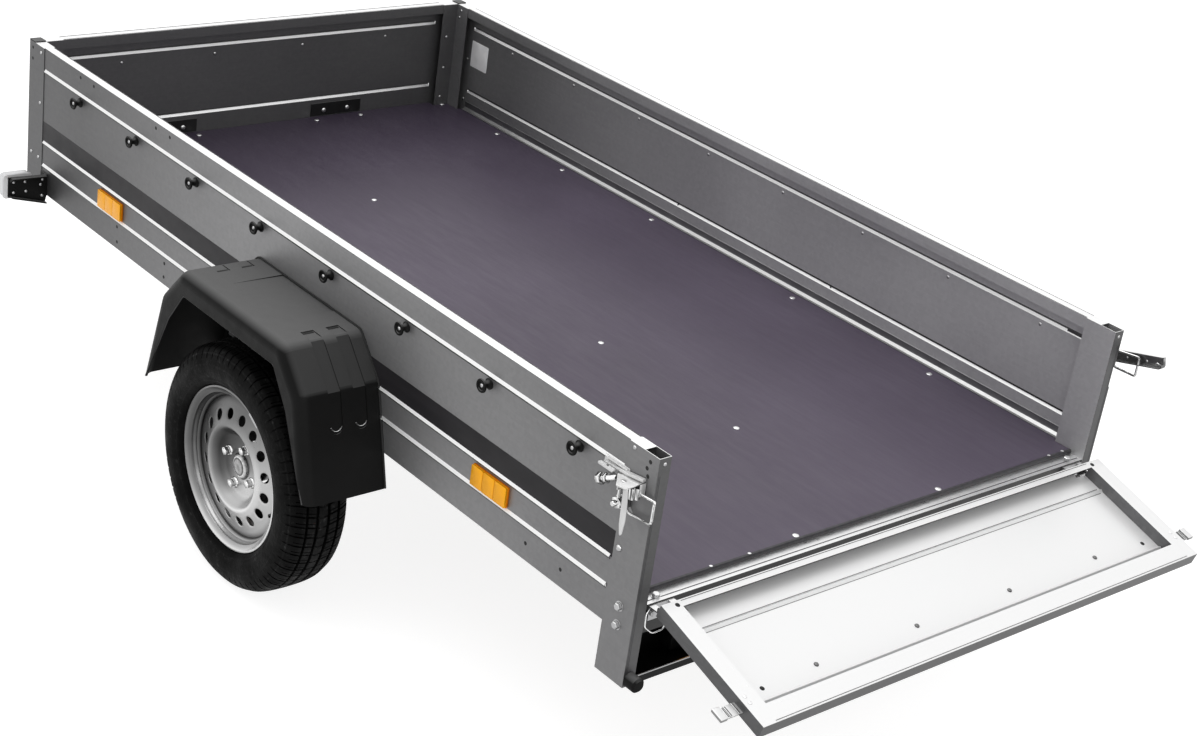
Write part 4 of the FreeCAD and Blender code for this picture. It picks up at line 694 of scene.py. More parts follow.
def prism(near, far):
    # a closed shape between two outlines with the same number of points
    work = bmesh.new()
    near, far = [[work.verts.new(point) for point in outline] for outline in (near, far)]
    work.faces.new(near)
    work.faces.new(far)
    for k in range(len(near)):
        after = (k + 1) % len(near)
        work.faces.new((near[k], near[after], far[after], far[k]))
    return work


def slab(outline, low, high, place, bevel=0.6, steps=2):
    # an outline given a thickness and soft edges; place turns its points into the frame
    work = prism([(u, v, low) for u, v in outline], [(u, v, high) for u, v in outline])
    bmesh.ops.recalc_face_normals(work, faces=work.faces)
    if bevel:
        bmesh.ops.bevel(work, geom=list(work.edges), offset=bevel, offset_type="OFFSET", segments=steps,
                        profile=0.5, affect="EDGES", clamp_overlap=True)
    for vert in work.verts:
        vert.co = place(*vert.co)
    turnOutward(work)
    return meshOf(work, "slab")


def plate(corners, thickness):
    # a flat or bent plate from its upper corners
    work = prism([onBed(*corner) for corner in corners], [onBed(x, y, z - thickness) for x, y, z in corners])
    bmesh.ops.triangulate(work, faces=[f for f in work.faces if len(f.verts) > 4])
    bmesh.ops.recalc_face_normals(work, faces=work.faces)
    bmesh.ops.bevel(work, geom=[e for e in work.edges if e.calc_face_angle(0) > 0.8], offset=0.3 * mm, segments=1,
                    profile=0.5, affect="EDGES")
    turnOutward(work)
    return meshOf(work, "plate")


def sideWall(x, z, y):       # outlines drawn on the side wall
    return onBed(x, y, z)


def crossWall(y, z, x):      # outlines drawn across the trailer
    return onBed(x, y, z)


def gateSide(out, rise, y):  # outlines drawn on the gate's end
    return onGate(out, y, rise)


def gateFace(y, rise, out):  # outlines drawn on the gate's field
    return onGate(out, y, rise)


def boxOutline(low, high):
    return [(low[0], low[1]), (high[0], low[1]), (high[0], high[1]), (low[0], high[1])]


def blockOf(low, high, bevel=0.6):
    return slab(boxOutline(low, high), low[2], high[2], onBed, bevel)


def roundedOutline(low, high, radius, steps=5):
    (u0, v0), (u1, v1) = low, high
    points = []
    for cu, cv, start in ((u1 - radius, v1 - radius, 0), (u0 + radius, v1 - radius, 90),
                          (u0 + radius, v0 + radius, 180), (u1 - radius, v0 + radius, 270)):
        for k in range(steps + 1):
            turn = math.radians(start + 90 * k / steps)
            points.append((cu + radius * math.cos(turn), cv + radius * math.sin(turn)))
    return points


def wire(corners, rounding, radius):
    # a round wire through points of the frame, bent with a rounding at each corner
    points = [Vector(corners[0])]
    for before, corner, after in zip(corners, corners[1:], corners[2:]):
        points.append(corner + (before - corner).normalized() * rounding * mm if rounding else corner)
        if rounding:
            points += [corner, corner + (after - corner).normalized() * rounding * mm]
    points.append(corners[-1])
    curve = bpy.data.curves.new("wire", "CURVE")
    curve.dimensions = "3D"
    curve.bevel_depth = radius * mm
    curve.bevel_resolution = 2
    curve.use_fill_caps = True
    spline = curve.splines.new("NURBS")
    spline.points.add(len(points) - 1)
    for item, point in zip(spline.points, points):
        item.co = (*point, 1)
    spline.order_u = 3
    spline.use_endpoint_u = True
    spline.resolution_u = 6
    work = bmesh.new()
    work.from_mesh(plainMesh(bpy.data.objects.new("wire", curve)))
    bmesh.ops.remove_doubles(work, verts=work.verts, dist=1e-6)
    turnOutward(work)
    return meshOf(work, "wire")


def threadProfile(inner, outer, length, pitch=2.4):
    profile = [(0, 0)]
    place = 0.0
    while place < length - pitch:
        profile += [(inner, place), (outer, place + pitch / 2)]
        place += pitch
    return profile + [(inner, length), (0, length)]


def closed(profile):         # a turned profile with its ends led to the axis
    return [(0, profile[0][1])] + profile + [(0, profile[-1][1])] * (profile[-1][0] > 0)


def bentWire(corners, rounding, radius):
    return wire([onBed(*corner) for corner in corners], rounding, radius)


tyreSizes = {
    "pitches": 70,
    "halfSection": [(273.5, 0), (273.4, 12), (273, 24), (272.2, 36), (270.8, 46), (268.3, 54), (264, 61),
                    (258, 66.5), (250, 71), (241, 74.3), (232, 76.4), (222, 77.4), (212, 77),
                    (203, 75), (197, 72.4), (195.5, 72.6), (193.5, 71.4), (189, 68.2), (185.5, 64.6),
                    (183.6, 60), (183, 55.2), (170, 54.6), (165.4, 53)],
    "grooves": [(-38, 6.5), (-13.5, 8), (13.5, 8), (38, 6.5)], "grooveDepth": 6.5, "flank": 0.9,
    "marks": (0, 21, 28, 48, 60.5), "treadRadius": 262, "lean": 0.55, "shoulder": 62,
    "rows": [0.0, 0.27, 0.29, 0.42, 0.44, 0.66, 0.685, 0.725, 0.75, 1.0],
    # where, rows, from and to (across on the tread, from the axis on the wall), depth
    "cuts": [("tread", (2, 3), 17.4, 99, 5.0), ("tread", (6, 7), 17.4, 99, 3.0), ("tread", (2, 3), 0.1, 9.6, 3.5),
             ("wall", (2, 3), 247, 266, 4.2), ("wall", (1, 3, 5, 7), 228, 242, 0.35)],
}


def sectionRadius(across):
    half = tyreSizes["halfSection"]
    for (r0, y0), (r1, y1) in zip(half, half[1:]):
        if y0 <= across <= y1:
            return r0 + (r1 - r0) * (across - y0) / (y1 - y0)


def makeTyreSector():
    # one pitch of the tread with its sidewalls, round the Y axis
    size = tyreSizes
    marks = {sign * y for y in size["marks"] for sign in (-1, 1)}
    for middle, width in size["grooves"]:
        marks |= {round(middle + sign * (width / 2 - inset), 3) for sign in (-1, 1) for inset in (0, size["flank"])}
    columns = []
    for y in sorted(marks):
        groove = any(abs(y - middle) < width / 2 - 0.5 for middle, width in size["grooves"])
        columns.append((sectionRadius(abs(y)) - groove * size["grooveDepth"], y, "groove" if groove else "tread"))
    walls = [(r, y) for r, y in size["halfSection"] if r < size["treadRadius"] or y > size["marks"][-1]]
    columns = [(r, -y, "wall") for r, y in reversed(walls)] + columns + [(r, y, "wall") for r, y in walls]
    work = bmesh.new()
    lines = []
    for number, share in enumerate(size["rows"]):
        lines.append([])
        for r, y, kind in columns:
            for where, rows, low, high, depth in size["cuts"]:
                if kind == where and number in rows and low < (r if kind == "wall" else abs(y)) < high:
                    r -= depth
                    break
            turn = math.tau / size["pitches"] * (share + size["lean"] * min(1, abs(y) / size["shoulder"]))
            lines[-1].append(work.verts.new((r * mm * math.cos(turn), y * mm, -r * mm * math.sin(turn))))
    for near, far in zip(lines, lines[1:]):
        for k in range(len(columns)):
            after = (k + 1) % len(columns)
            work.faces.new((near[k], near[after], far[after], far[k]))
    return meshOf(work, "tyreSector")


def turnSkin(mesh, axis=None):
    # faces of a closed skin outward, of an open one along the axis
    work = bmesh.new()
    work.from_mesh(mesh)
    bmesh.ops.recalc_face_normals(work, faces=work.faces)
    if axis is not None and sum(f.normal[axis] * f.calc_area() for f in work.faces) < 0:
        bmesh.ops.reverse_faces(work, faces=work.faces)
    work.to_mesh(mesh)
    work.free()
    return mesh


def ringOf(name, sector, count, slot):
    return grow(name, sector, ring, {"Count": count, "Weld": 0.00002, "Finish": finishes[slot]})


def sided(mesh, side):
    return mesh if side == "left" else mirroredMesh(mesh)


tyreMesh = turnSkin(ringOf("tyre", makeTyreSector(), tyreSizes["pitches"], "tyre"))
tyreMesh.transform(Matrix.Translation(wheelCentre))
for side in ("left", "right"):
    tyre = finishPiece("roadTyre_" + side, sided(tyreMesh, side), "wheel_set_" + side, "tyre", None, 32)
    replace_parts(tyre, "tyre_" + side)
print("tyres: %d faces each" % len(tyreMesh.polygons))

wheelSizes = {
    "vents": 16, "ventCircle": 119.3, "ventRadius": 12.0, "ventPhase": 7, "columns": 12, "thickness": 3.2,
    # shares of the way from the vent to the sector's edge, and how far the sheet sinks there
    "lip": [(1.0, 0), (0.45, 0), (0.12, 0), (0.0, 0.5), (-0.05, 1.2), (-0.06, 2.4)],
    "outer": [(182, 55.4), (182, 60.5), (181.2, 62.5), (179.4, 63), (177.8, 62), (176.4, 59.6),
              (174.6, 57.4), (171, 55.4), (167.6, 53.4), (165.4, 50.6), (164.2, 47), (163, 43),
              (160.9, 40.4), (158.6, 39.2), (157.4, 37), (157, 33.6), (155, 34.6), (151, 36.4),
              (145.0, 38.0), (140.0, 39.2)],
    "dish": [(100.4, 52.2), (98, 53.4), (95, 54), (92.2, 53.7), (89.6, 52.4), (86.6, 49.6), (82.6, 45),
             (78.2, 40), (74, 35.8), (70.4, 33), (66.6, 31.2), (62, 30.3), (56, 30), (40, 30),
             (31.5, 30.0), (29.8, 29.3), (29.1, 27.6)],
    "barrel": [(165.4, 50.6), (166.6, 54), (170, 56), (174, 58.6), (176.4, 61), (178.4, 63),
               (182, 62.2), (182, 55), (166.5, 54.6), (165, 52), (165, 30), (162, 22),
               (153, 16), (151, 10), (151, -20), (155, -26), (165, -34), (165, -54),
               (182, -55), (182, -63), (178, -63), (174, -58), (161.5, -56), (161, -36),
               (151.5, -28), (148, -20), (148, 10), (150, 18), (157, 24), (161, 32),
               (161.6, 40.0), (162.6, 46.0), (165.4, 50.6)],
}


def makeWheelSector():
    size = wheelSizes
    width, steps, circle, vent = math.tau / size["vents"], size["columns"], size["ventCircle"], size["ventRadius"]
    turns = [width * (k / steps - 0.5) for k in range(steps + 1)]
    work = bmesh.new()

    def at(r, y, turn):
        return work.verts.new((r * mm * math.cos(turn), y * mm, -r * mm * math.sin(turn)))

    for profile in (size["outer"], size["dish"]):
        lines = [[at(r, y, turn) for turn in turns] for r, y in profile]
        for near, far in zip(lines, lines[1:]):
            for k in range(steps):
                work.faces.new((near[k], near[k + 1], far[k + 1], far[k]))
    # the slope between them, with one round vent and its turned-in lip
    (highR, highY), (lowR, lowY) = size["dish"][0], size["outer"][-1]
    between = [lowR + (highR - lowR) * k / steps for k in range(1, steps)]
    edge = [(lowR, turn) for turn in turns] + [(r, width / 2) for r in between]
    edge += [(highR, turn) for turn in reversed(turns)] + [(r, -width / 2) for r in reversed(between)]
    loops = []
    for share, sink in size["lip"]:
        loops.append([])
        for r, turn in edge:
            u, v = r * math.cos(turn) - circle, r * math.sin(turn)
            far = math.hypot(u, v)
            reach = vent + (far - vent) * share if share >= 0 else vent * (1 + share)
            if share < 1:
                a, b = circle + u / far * reach, v / far * reach
                r, turn = math.hypot(a, b), math.atan2(b, a)
            loops[-1].append(at(r, lowY + (highY - lowY) * (r - lowR) / (highR - lowR) - sink, turn))
    for near, far in zip(loops, loops[1:]):
        for k in range(len(edge)):
            after = (k + 1) % len(edge)
            work.faces.new((near[k], near[after], far[after], far[k]))
    bmesh.ops.remove_doubles(work, verts=work.verts, dist=1e-6)
    bmesh.ops.rotate(work, verts=work.verts, matrix=Matrix.Rotation(-math.radians(size["ventPhase"]), 3, "Y"))
    return meshOf(work, "wheelSector")


def thicken(mesh, thickness):
    # gives the pressed sheet its thickness on the back
    obj = bpy.data.objects.new("thick", mesh)
    solid = obj.modifiers.new("solid", "SOLIDIFY")
    solid.thickness = thickness * mm
    solid.offset = -1
    return plainMesh(obj)


discMesh = turnSkin(ringOf("wheelDisc", makeWheelSector(), wheelSizes["vents"], "silver_paint"), 1)
discMesh = thicken(discMesh, wheelSizes["thickness"])
discMesh.transform(Matrix.Translation(wheelCentre))
barrelMesh = lathed(wheelSizes["barrel"], wheelCentre, left, 160)
for side in ("left", "right"):
    wheel, barrel = [finishPiece(name + side, sided(mesh, side), "wheel_set_" + side, "silver_paint", None, 40)
                     for name, mesh in (("wheelDisc_", discMesh), ("rimBarrel_", barrelMesh))]
    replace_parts(wheel, "wheel_" + side)
print("wheels: %d faces in a disc" % len(discMesh.polygons))


def onWheel(radius, degrees, across):
    turn = math.radians(degrees)
    return wheelCentre + Vector((radius * mm * math.cos(turn), across * mm, radius * mm * math.sin(turn)))


def onRim(u, v, w):          # outlines drawn round the rim
    return onWheel(v, hubSizes["weightAt"] + math.degrees(u / hubSizes["weightBand"]), w)


def makeHubs():
    size = hubSizes
    cap, back, ventShade = [lathed(size[key], wheelCentre, left, 64) for key in ("cap", "back", "ventShade")]
    bolts = []
    for k in range(size["bolts"]):
        seat, head, tip = [onWheel(size["boltCircle"], size["boltPhase"] + 360 * k / size["bolts"],
                                   size["boltFace"] + out) for out in (0, size["headAt"], size["tipAt"])]
        bolts += [lathed(size["seat"], seat, left), nutMesh(head, left, *size["head"]),
                  lathed(size["tip"], tip, left, 24)]
    valve = lathed(size["valve"], onWheel(*size["valveAt"]), size["valveAlong"], 16)
    weight = slab(roundedOutline(*size["weight"], 2.5), *size["weightAcross"], onRim, 0.7)
    for side in ("left", "right"):
        body = "wheel_set_" + side
        hub = gather("hub_" + side + "_body", [sided(back, side)], body)
        gather("hubCap_" + side, [sided(cap, side)], body, material="cap")
        gather("wheelBolts_" + side, [sided(mesh, side) for mesh in bolts], body, material="chrome")
        gather("valve_" + side, [sided(valve, side)], body, "black_rubber")
        gather("balanceWeight_" + side, [sided(weight, side)], body)
        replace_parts(hub, "hub_" + side)
        # painted shade: a dark disc fixed on the arm, standing for the shade seen through the vents
        gather("dustPlate_" + side, [sided(ventShade, side)], slot="black_paint")


makeHubs()
print("hubs: caps, bolts and valves")

knobSizes = {
    "first": 207, "pitch": 272, "count": 8, "height": 222, "across": (408, 136, -136, -408),
    "board": 2372.5, "boardHeight": 215, "gate": -6, "gateHeight": 210,
    "profile": [(0, 0), (11.5, 0), (11.5, 1.6), (9.4, 3.0), (7.4, 5.4), (6.6, 8.6), (6.8, 12.4), (8.6, 14.8),
                (12.6, 16.2), (14.2, 17.6), (14.4, 19.6), (13.4, 21.2), (11.4, 21.8), (9.6, 21), (8.6, 18.8),
                (4.6, 18.2), (0, 18.2)],
    "rivet": [(0, 17.8), (4.4, 17.8), (4.2, 18.9), (3.0, 19.9), (0, 20.4)],
}
knobPlaces = [knobSizes["first"] + knobSizes["pitch"] * k for k in range(knobSizes["count"])]


def makeKnobs():
    size = knobSizes
    spots = bothSides(spotsBeside(left, places["wall"], grid(knobPlaces, (size["height"],))))
    spots += spotsAt(front, size["board"], grid(size["across"], (size["boardHeight"],)))
    onTailgate = [(onGate(size["gate"], y, size["gateHeight"]), gateOut) for y in size["across"]]
    for name, where, body, node in (("tarpKnob", spots, "chassis", "tarp_knobs"),
                                    ("gateKnob", onTailgate, "tailgate", "tailgate_knobs")):
        knobs = copiesOf(name + "s", lathe(name, size["profile"], 28), where, body, "black_plastic")
        copiesOf(name + "Rivets", lathe(name + "Rivet", size["rivet"], 20), where, body, "bright_zinc", 60)
        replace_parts(knobs, node)


makeKnobs()
print("knobs for the cover's rubber line")

stripeSizes = {"low": (79.4, 56.5), "high": (2297.6, 110.5), "thickness": 0.35}
labelSizes = {"low": (2217, 130), "high": (2292, 205), "across": (-656.9, -656.3)}
reflectorSizes = {"middles": (436, 1940), "length": 112, "low": 1.5, "high": 46.5, "segments": 3}


def makeMarkings():          # stripes, the label inside the bed and the side reflectors
    wall = places["wall"]
    film = slab(boxOutline(stripeSizes["low"], stripeSizes["high"]), wall, wall + stripeSizes["thickness"],
                sideWall, 0)
    gather("sideStripes", [film], slot="galvanised_sheet", material="stripe", smooth=0, both=True)
    label = slab(roundedOutline(labelSizes["low"], labelSizes["high"], 3), *labelSizes["across"], sideWall, 0.15)
    gather("blankPlate", [label], slot="galvanised_sheet", material="label", smooth=30)
    size = reflectorSizes
    low, high, wide = size["low"], size["high"], (size["length"] - 2) / size["segments"]
    lenses, frames = [], []
    for middle in size["middles"]:
        start = middle - size["length"] / 2
        frames.append(slab(roundedOutline((start, low), (start + size["length"], high), 3), wall, wall + 3.4,
                           sideWall, 0.5))
        for k in range(size["segments"]):
            edge = start + 1 + wide * k
            lenses.append(slab(roundedOutline((edge + 0.4, low + 1), (edge + wide - 0.4, high - 1), 2.2), wall + 1,
                               wall + 8.8, sideWall, 2.2, 4))
    shown = gather("sideReflectors", lenses, slot="amber_lens", smooth=30, both=True)
    gather("reflectorBases", frames, slot="amber_lens", material="amber", smooth=30, both=True)
    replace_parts(shown, "side_reflectors")


makeMarkings()
print("stripes, blank label and reflectors")


def rounded(low, high, inset, radius, steps=5):
    # a rounded outline set in from its corners
    return roundedOutline((low[0] + inset, low[1] + inset), (high[0] - inset, high[1] - inset), radius, steps)


frontLampSizes = {
    "low": (698.5, -72), "high": (774.2, -10), "back": 2271.2, "front": 2301, "lipBack": 2267,
    "lips": [(2255, [(664, -20), (756, -16.8), (761.5, -23), (761.5, -26), (755, -20.5), (664, -23.6)]),
             (2256, [(664, -93.8), (756, -68.6), (761.5, -64), (761.5, -61), (755, -65), (664, -90.2)])],
    "screws": [(749, -29), (719, -31), (672, -31), (677, -44), (749, -57), (716, -57), (673, -74)],
}
tailLampSizes = {
    "low": (290, -168), "high": (510, -84), "rear": 33, "front": 73, "lensDepth": 9,
    "fields": [("Red", 293, 396), ("Amber", 430, 481), ("Clear", 397, 429)],
    "triangle": [(320, -156), (380, -156), (350, -106)],
    "screws": [(299, -126), (413, -90), (413, -162), (475, -126)],
    "barStuds": [(470, -170), (200, -170)], "barInner": [(560, -105), (590, -140), (230, -125), (120, -125)],
}


def makeFrontLamps():
    size = frontLampSizes
    low, high, back, face = size["low"], size["high"], size["back"], size["front"]
    lamps = gather("frontLampBodies", [
        slab(rounded(low, high, 0, 9), back, back + 6, crossWall, 1),
        slab(rounded(low, high, 1, 11, 8), back + 5, face - 4, crossWall, 4, 5),
        slab(rounded(low, high, 12, 9, 8), face - 6, face - 0.4, crossWall, 2.4, 4)],
        slot="clear_lens", smooth=35, both=True)
    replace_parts(lamps, "front_lamps")
    # folded lips of the bracket, seen from behind
    lips = [slab(outline, start, size["lipBack"], crossWall, 0.5) for start, outline in size["lips"]]
    gather("frontLampLips", lips, slot="black_plastic", both=True)
    domeHeads("frontLampScrews", bothSides(spotsAt(rear, size["lipBack"], size["screws"])), 4.0, 2.6)


def makeTailLamps():
    size = tailLampSizes
    face, depth = size["rear"], size["lensDepth"]
    case = slab(rounded(size["low"], size["high"], 0, 8), face + depth - 3, size["front"], crossWall, 1.2)
    lamps = gather("tailLampCases", [case], slot="black_plastic", both=True)
    for kind, start, end in size["fields"]:
        outline = roundedOutline((start, size["low"][1] + 3), (end, size["high"][1] - 3), 5)
        lenses = [slab(outline, face + 0.5, face + depth, crossWall, 2.2, 3)]
        if kind == "Red":
            lenses.append(slab(size["triangle"], face - 1.4, face + 1, crossWall, 1))
        gather("tailLamp" + kind, lenses, slot=kind.lower() + "_lens", smooth=30, both=True)
    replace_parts(lamps, "tail_lamps")
    domeHeads("tailLampScrews", bothSides(spotsAt(rear, face + 1.2, size["screws"])), 3.2, 1.6)
    studs = bothSides(spotsAt(rear, -0.1, size["barStuds"]) + spotsAt(rear, size["front"], size["barInner"]))
    domeHeads("lampBarStuds", studs + spotsAt(rear, -0.1, [(0, -170)]), 4.2, 2.4)
    # painted highlight: a bright strip along the lamp bar's rear lip
    gather("lampBarEdge", [blockOf((-0.3, -628, -163.2), (2, 628, -160.6), 0)], smooth=0)


makeFrontLamps()
makeTailLamps()
print("lamps at the front and the rear")


def basePlate():
    # plate on the post with its folded lips, which catch the light
    return [slab(roundedOutline((68, 219), (136, 244), 3), 658.6, 661, sideWall, 0.4),
            blockOf((70, 658.8, 240.4), (127, 666.5, 243.4), 0.3)]


def makeLeftLatch():
    # tapered strip with folded edges, rising to the rear
    parts = basePlate() + [
        slab([(129, 231), (129, 234.4), (69, 240.4), (24, 247), (24, 242), (69, 235)], 661.2, 670, sideWall, 0.3),
        slab(roundedOutline((93, 228), (134, 233.6), 2.4), 671.6, 678.4, sideWall, 1.2),
        # the plate that carries the lever, bent up against the post
        plate([(85, 673, 231), (65, 667, 234), (27, 661.5, 240), (33, 680, 231.5), (36, 697, 229.5),
               (55, 702, 229.5)], 2.6),
        blockOf((62, 664, 212), (64.4, 690, 229), 0.4), blockOf((22, 661, 214), (24.2, 674, 238), 0.4),
        # lever: a narrow blade, hanging, with a folded rib and a rounded tip
        slab([(43, 229), (32.5, 231), (28, 201), (26.5, 167), (30, 140), (31.6, 136.8), (34, 136), (36, 138),
              (40, 157), (42.1, 194)], 692.6, 695.2, sideWall, 0.8, 3),
        slab([(42, 228), (39.4, 228), (38, 194), (36.4, 160), (38.6, 159), (41, 194)], 687, 694, sideWall, 0.4)]
    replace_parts(gather("latchLeft", parts, material="latch"), "latch_left")
    # threaded hook bolt along the wall, with its nuts, rollers, pins and the rear nut
    slant = (-0.886, 0, 0.464)
    fittings = [lathed(threadProfile(3.8, 5.4, 46), onBed(122, 678, 203.4), slant, 20),
                nutMesh(onBed(124, 678, 202.4), slant, 12.2, 10), nutMesh(onBed(108, 678, 210.8), slant, 10, 6),
                nutMesh(onBed(73, 667, 178), left, 12.4, 11),
                rod(3.4, 34, onBed(70.5, 676, 190), up, 16), rod(14.4, 2, onBed(73, 664.8, 178), left)]
    for profile, centre, way, steps in (
            ([(7, 0), (8.8, 3.4), (8.8, 6)], (130, 678, 199.2), slant, 24),
            ([(7, 0), (7.4, 1), (7.4, 21), (7, 22)], (42, 672, 201), up, 24),
            ([(6.2, 0), (6.6, 1), (6.6, 21), (6.2, 22)], (31, 671, 206), up, 24),
            ([(5.4, 0), (5, 1.4), (3, 2.2), (0, 2.4)], (56, 683, 231.6), up, 20),
            ([(5.8, 0), (5.8, 24), (4.6, 26)], (73, 661, 178), left, 16)):
        fittings.append(lathed(closed(profile), onBed(*centre), way, steps))
    # bail that hooks over the gate's catch when shut, hanging against the post
    fittings.append(bentWire([(56, 677, 218), (44, 673, 219), (-9, 665, 218), (-8.6, 665, 176), (-4, 665, 171.5),
                              (48, 665, 166), (60, 668, 174)], 6, 2.8))
    gather("latchLeftFittings", fittings, material="chrome", smooth=45)
    # a near-black dome on the latch, its darkness painted shade
    domeHeads("latchLeftRivets", [(onBed(112, 674, 233.4), up)], 2.6, 0.9, material="paintedHoleShade")


leverSizes = {"start": (44, 198.2), "rise": 15.3, "length": 135.8, "height": 25.5, "far": 715, "near": 700,
              "corner": 9}


def onLever(points):         # from the right lever's own side view to the wall's
    turn = math.radians(leverSizes["rise"])
    x, z = leverSizes["start"]
    return [(x - a * math.cos(turn) + u * math.sin(turn), z + a * math.sin(turn) + u * math.cos(turn))
            for a, u in points]


def makeRightLatch():        # drawn on the left and mirrored with its faces
    size = leverSizes
    length, height, far, near, r = size["length"], size["height"], size["far"], size["near"], size["corner"]
    parts = basePlate()
    parts += [blockOf((36, 660, 216), (60, far, 218.4), 0.8), blockOf((36, 660, 226.6), (60, far, 229), 0.8),
              blockOf((36, 660, 216), (38.4, far - 6, 229), 0.7)]
    # channel lever swung out to the rear, open towards the trailer, closed at its rounded end
    corner = [(length - r + r * math.sin(a), r - r * math.cos(a)) for a in (0, 0.4, 0.8, 1.2, math.pi / 2)]
    parts.append(slab(onLever([(0, 0)] + corner + [(length, height), (0, height)]), far - 2.2, far, sideWall, 0.5))
    edge = [(0, height), (length, height)] + corner[::-1] + [(0, 0)]
    for (a0, u0), (a1, u1) in zip(edge, edge[1:]):
        run = math.hypot(a1 - a0, u1 - u0)
        da, du = (a1 - a0) / run * 2.4, (u1 - u0) / run * 2.4
        inner = near if a1 < a0 or u0 == u1 == 0 else far - 8
        parts.append(slab(onLever([(a0, u0), (a1, u1), (a1 + du, u1 - da), (a0 + du, u0 - da)]), inner, far,
                          sideWall, 0.3))
    fittings = [rod(3.8, 30, onBed(48, 690, 208), up, 20), nutMesh(onBed(48, 690, 203), up, 7.4, 5.6),
                bentWire([(36, 694, 222), (24, 697, 231), (-27, 703, 236), (-27.5, 703, 192), (23, 699, 192),
                          (36, 694, 204)], 9, 2.8),
                bentWire([(-62, 711, 236), (-66, 704, 239), (-71, 704, 243), (-76, 709, 240)], 2.6, 1.5)]
    parts, fittings = [[mirroredMesh(mesh) for mesh in meshes] for meshes in (parts, fittings)]
    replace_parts(gather("latchRight", parts, material="lever"), "latch_right")
    gather("latchRightFittings", fittings, material="chrome", smooth=45)
    domeHeads("latchRightRivets", [(onBed(x, 2.2 - far, z), left) for x, z in ((9, 219), (-40, 232))], 3.0, 1.6)


makeLeftLatch()
makeRightLatch()
print("side latches")


def holes(name, spots, body="chassis", radius=4.2):      # punched holes
    # the holes are near-black discs, the shade in them painted
    domeHeads(name, spots, radius, 0.5, body, "galvanised_sheet", "paintedHoleShade")


def makeFloorFasteners():
    floor = grid((441, 894, 1422, 1795, 2088), (-618, 618)) + grid((437, 888, 1794), (0,))
    floor += grid((2345,), (-612, 612)) + grid((46,), (-208, 208)) + grid((2345,), (-330, -185, 185, 330))
    domeHeads("floorBolts", [(onBed(x, y, 0), up) for x, y in floor], 7.4, 2.6)
    domeHeads("floorScrews", [(onBed(38, y, 0), up) for y in (-606, -560, 340, 440, 600)], 4.2, 1.6)
    hexHeads("floorNuts", [(onBed(x + 4, y, -11.4), down) for x, y in floor if 100 < x < 2100], 7.5, 6.5)


def makeWallFasteners():
    wall, post, inside, back = places["wall"], places["post"], places["inside"], places["boardBack"]
    outer = spotsBeside(left, post, ((66, 288), (2314, 281), (2314, 152), (2316, 9), (2354, 11)))
    outer += spotsAt(front, back + 3, grid((596, 648), (-60, 14, 150, 281)))
    domeHeads("postRivets", bothSides(outer), 4.4, 2.2)
    # ends of the knobs' rivets and the posts' rivets, seen from inside the bed
    inner = spotsBeside(right, inside, grid(knobPlaces, (knobSizes["height"],)) + grid((2308,), (145, 26)))
    inner += spotsBeside(right, 631.5, ((2334, 262), (2328, 282)))
    inner += spotsAt(rear, back, grid((136, 408), (213,)))
    inner += spotsAt(rear, 2345.5, ((603, 202), (604, 111), (602, 24))) + spotsAt(rear, 0, ((646, 284),))
    domeHeads("innerRivets", bothSides(inner), 4.0, 1.8)
    hexHeads("postBolts", bothSides(spotsBeside(left, post, ((40, -24), (39, -63)))), 8, 5.6)
    domeHeads("postStuds", bothSides(spotsBeside(left, post, ((65, 84),))), 7, 4.4)
    dark = spotsBeside(left, wall, [(1911, -21), (1908, -59), (1685, -24), (1685, -58), (316, -41), (210, -41)]
                       + grid((2114, 2048, 1753, 1690), (284,)))
    dark += spotsBeside(left, post, ((22, 281), (28, 266), (23, 252), (2357, 282), (2357, 254)))
    holes("wallHoles", bothSides(dark))
    feet = spotsBeside(down, 644, grid((330, 820, 1709, 1930, 2250), (-76,)))
    hexHeads("footBolts", bothSides(feet), 6.6, 5.2, slot="black_plastic")


def makeFrameFasteners():    # drawbar and axle
    board = places["boardFront"]
    domeHeads("plateBolts", bothSides(spotsAt(rear, 2368, grid((221, 298), (17,)))), 7, 3.6)
    drawbar = spotsAt(front, board, grid((200, 322), (20, -55)) + [(261, 22)])
    hexHeads("drawbarBolts", bothSides(drawbar), 9.4, 7)
    head = [(onBed(x, 0, z), way) for z, way in ((-8, up), (-68, down)) for x in (3010, 3092)]
    hexHeads("headBolts", head, 10.5, 8)
    hexHeads("axleBolts", bothSides([(onBed(x, y, -82), down) for x, y in grid((1160, 1276), (604, 640))]), 9, 7)


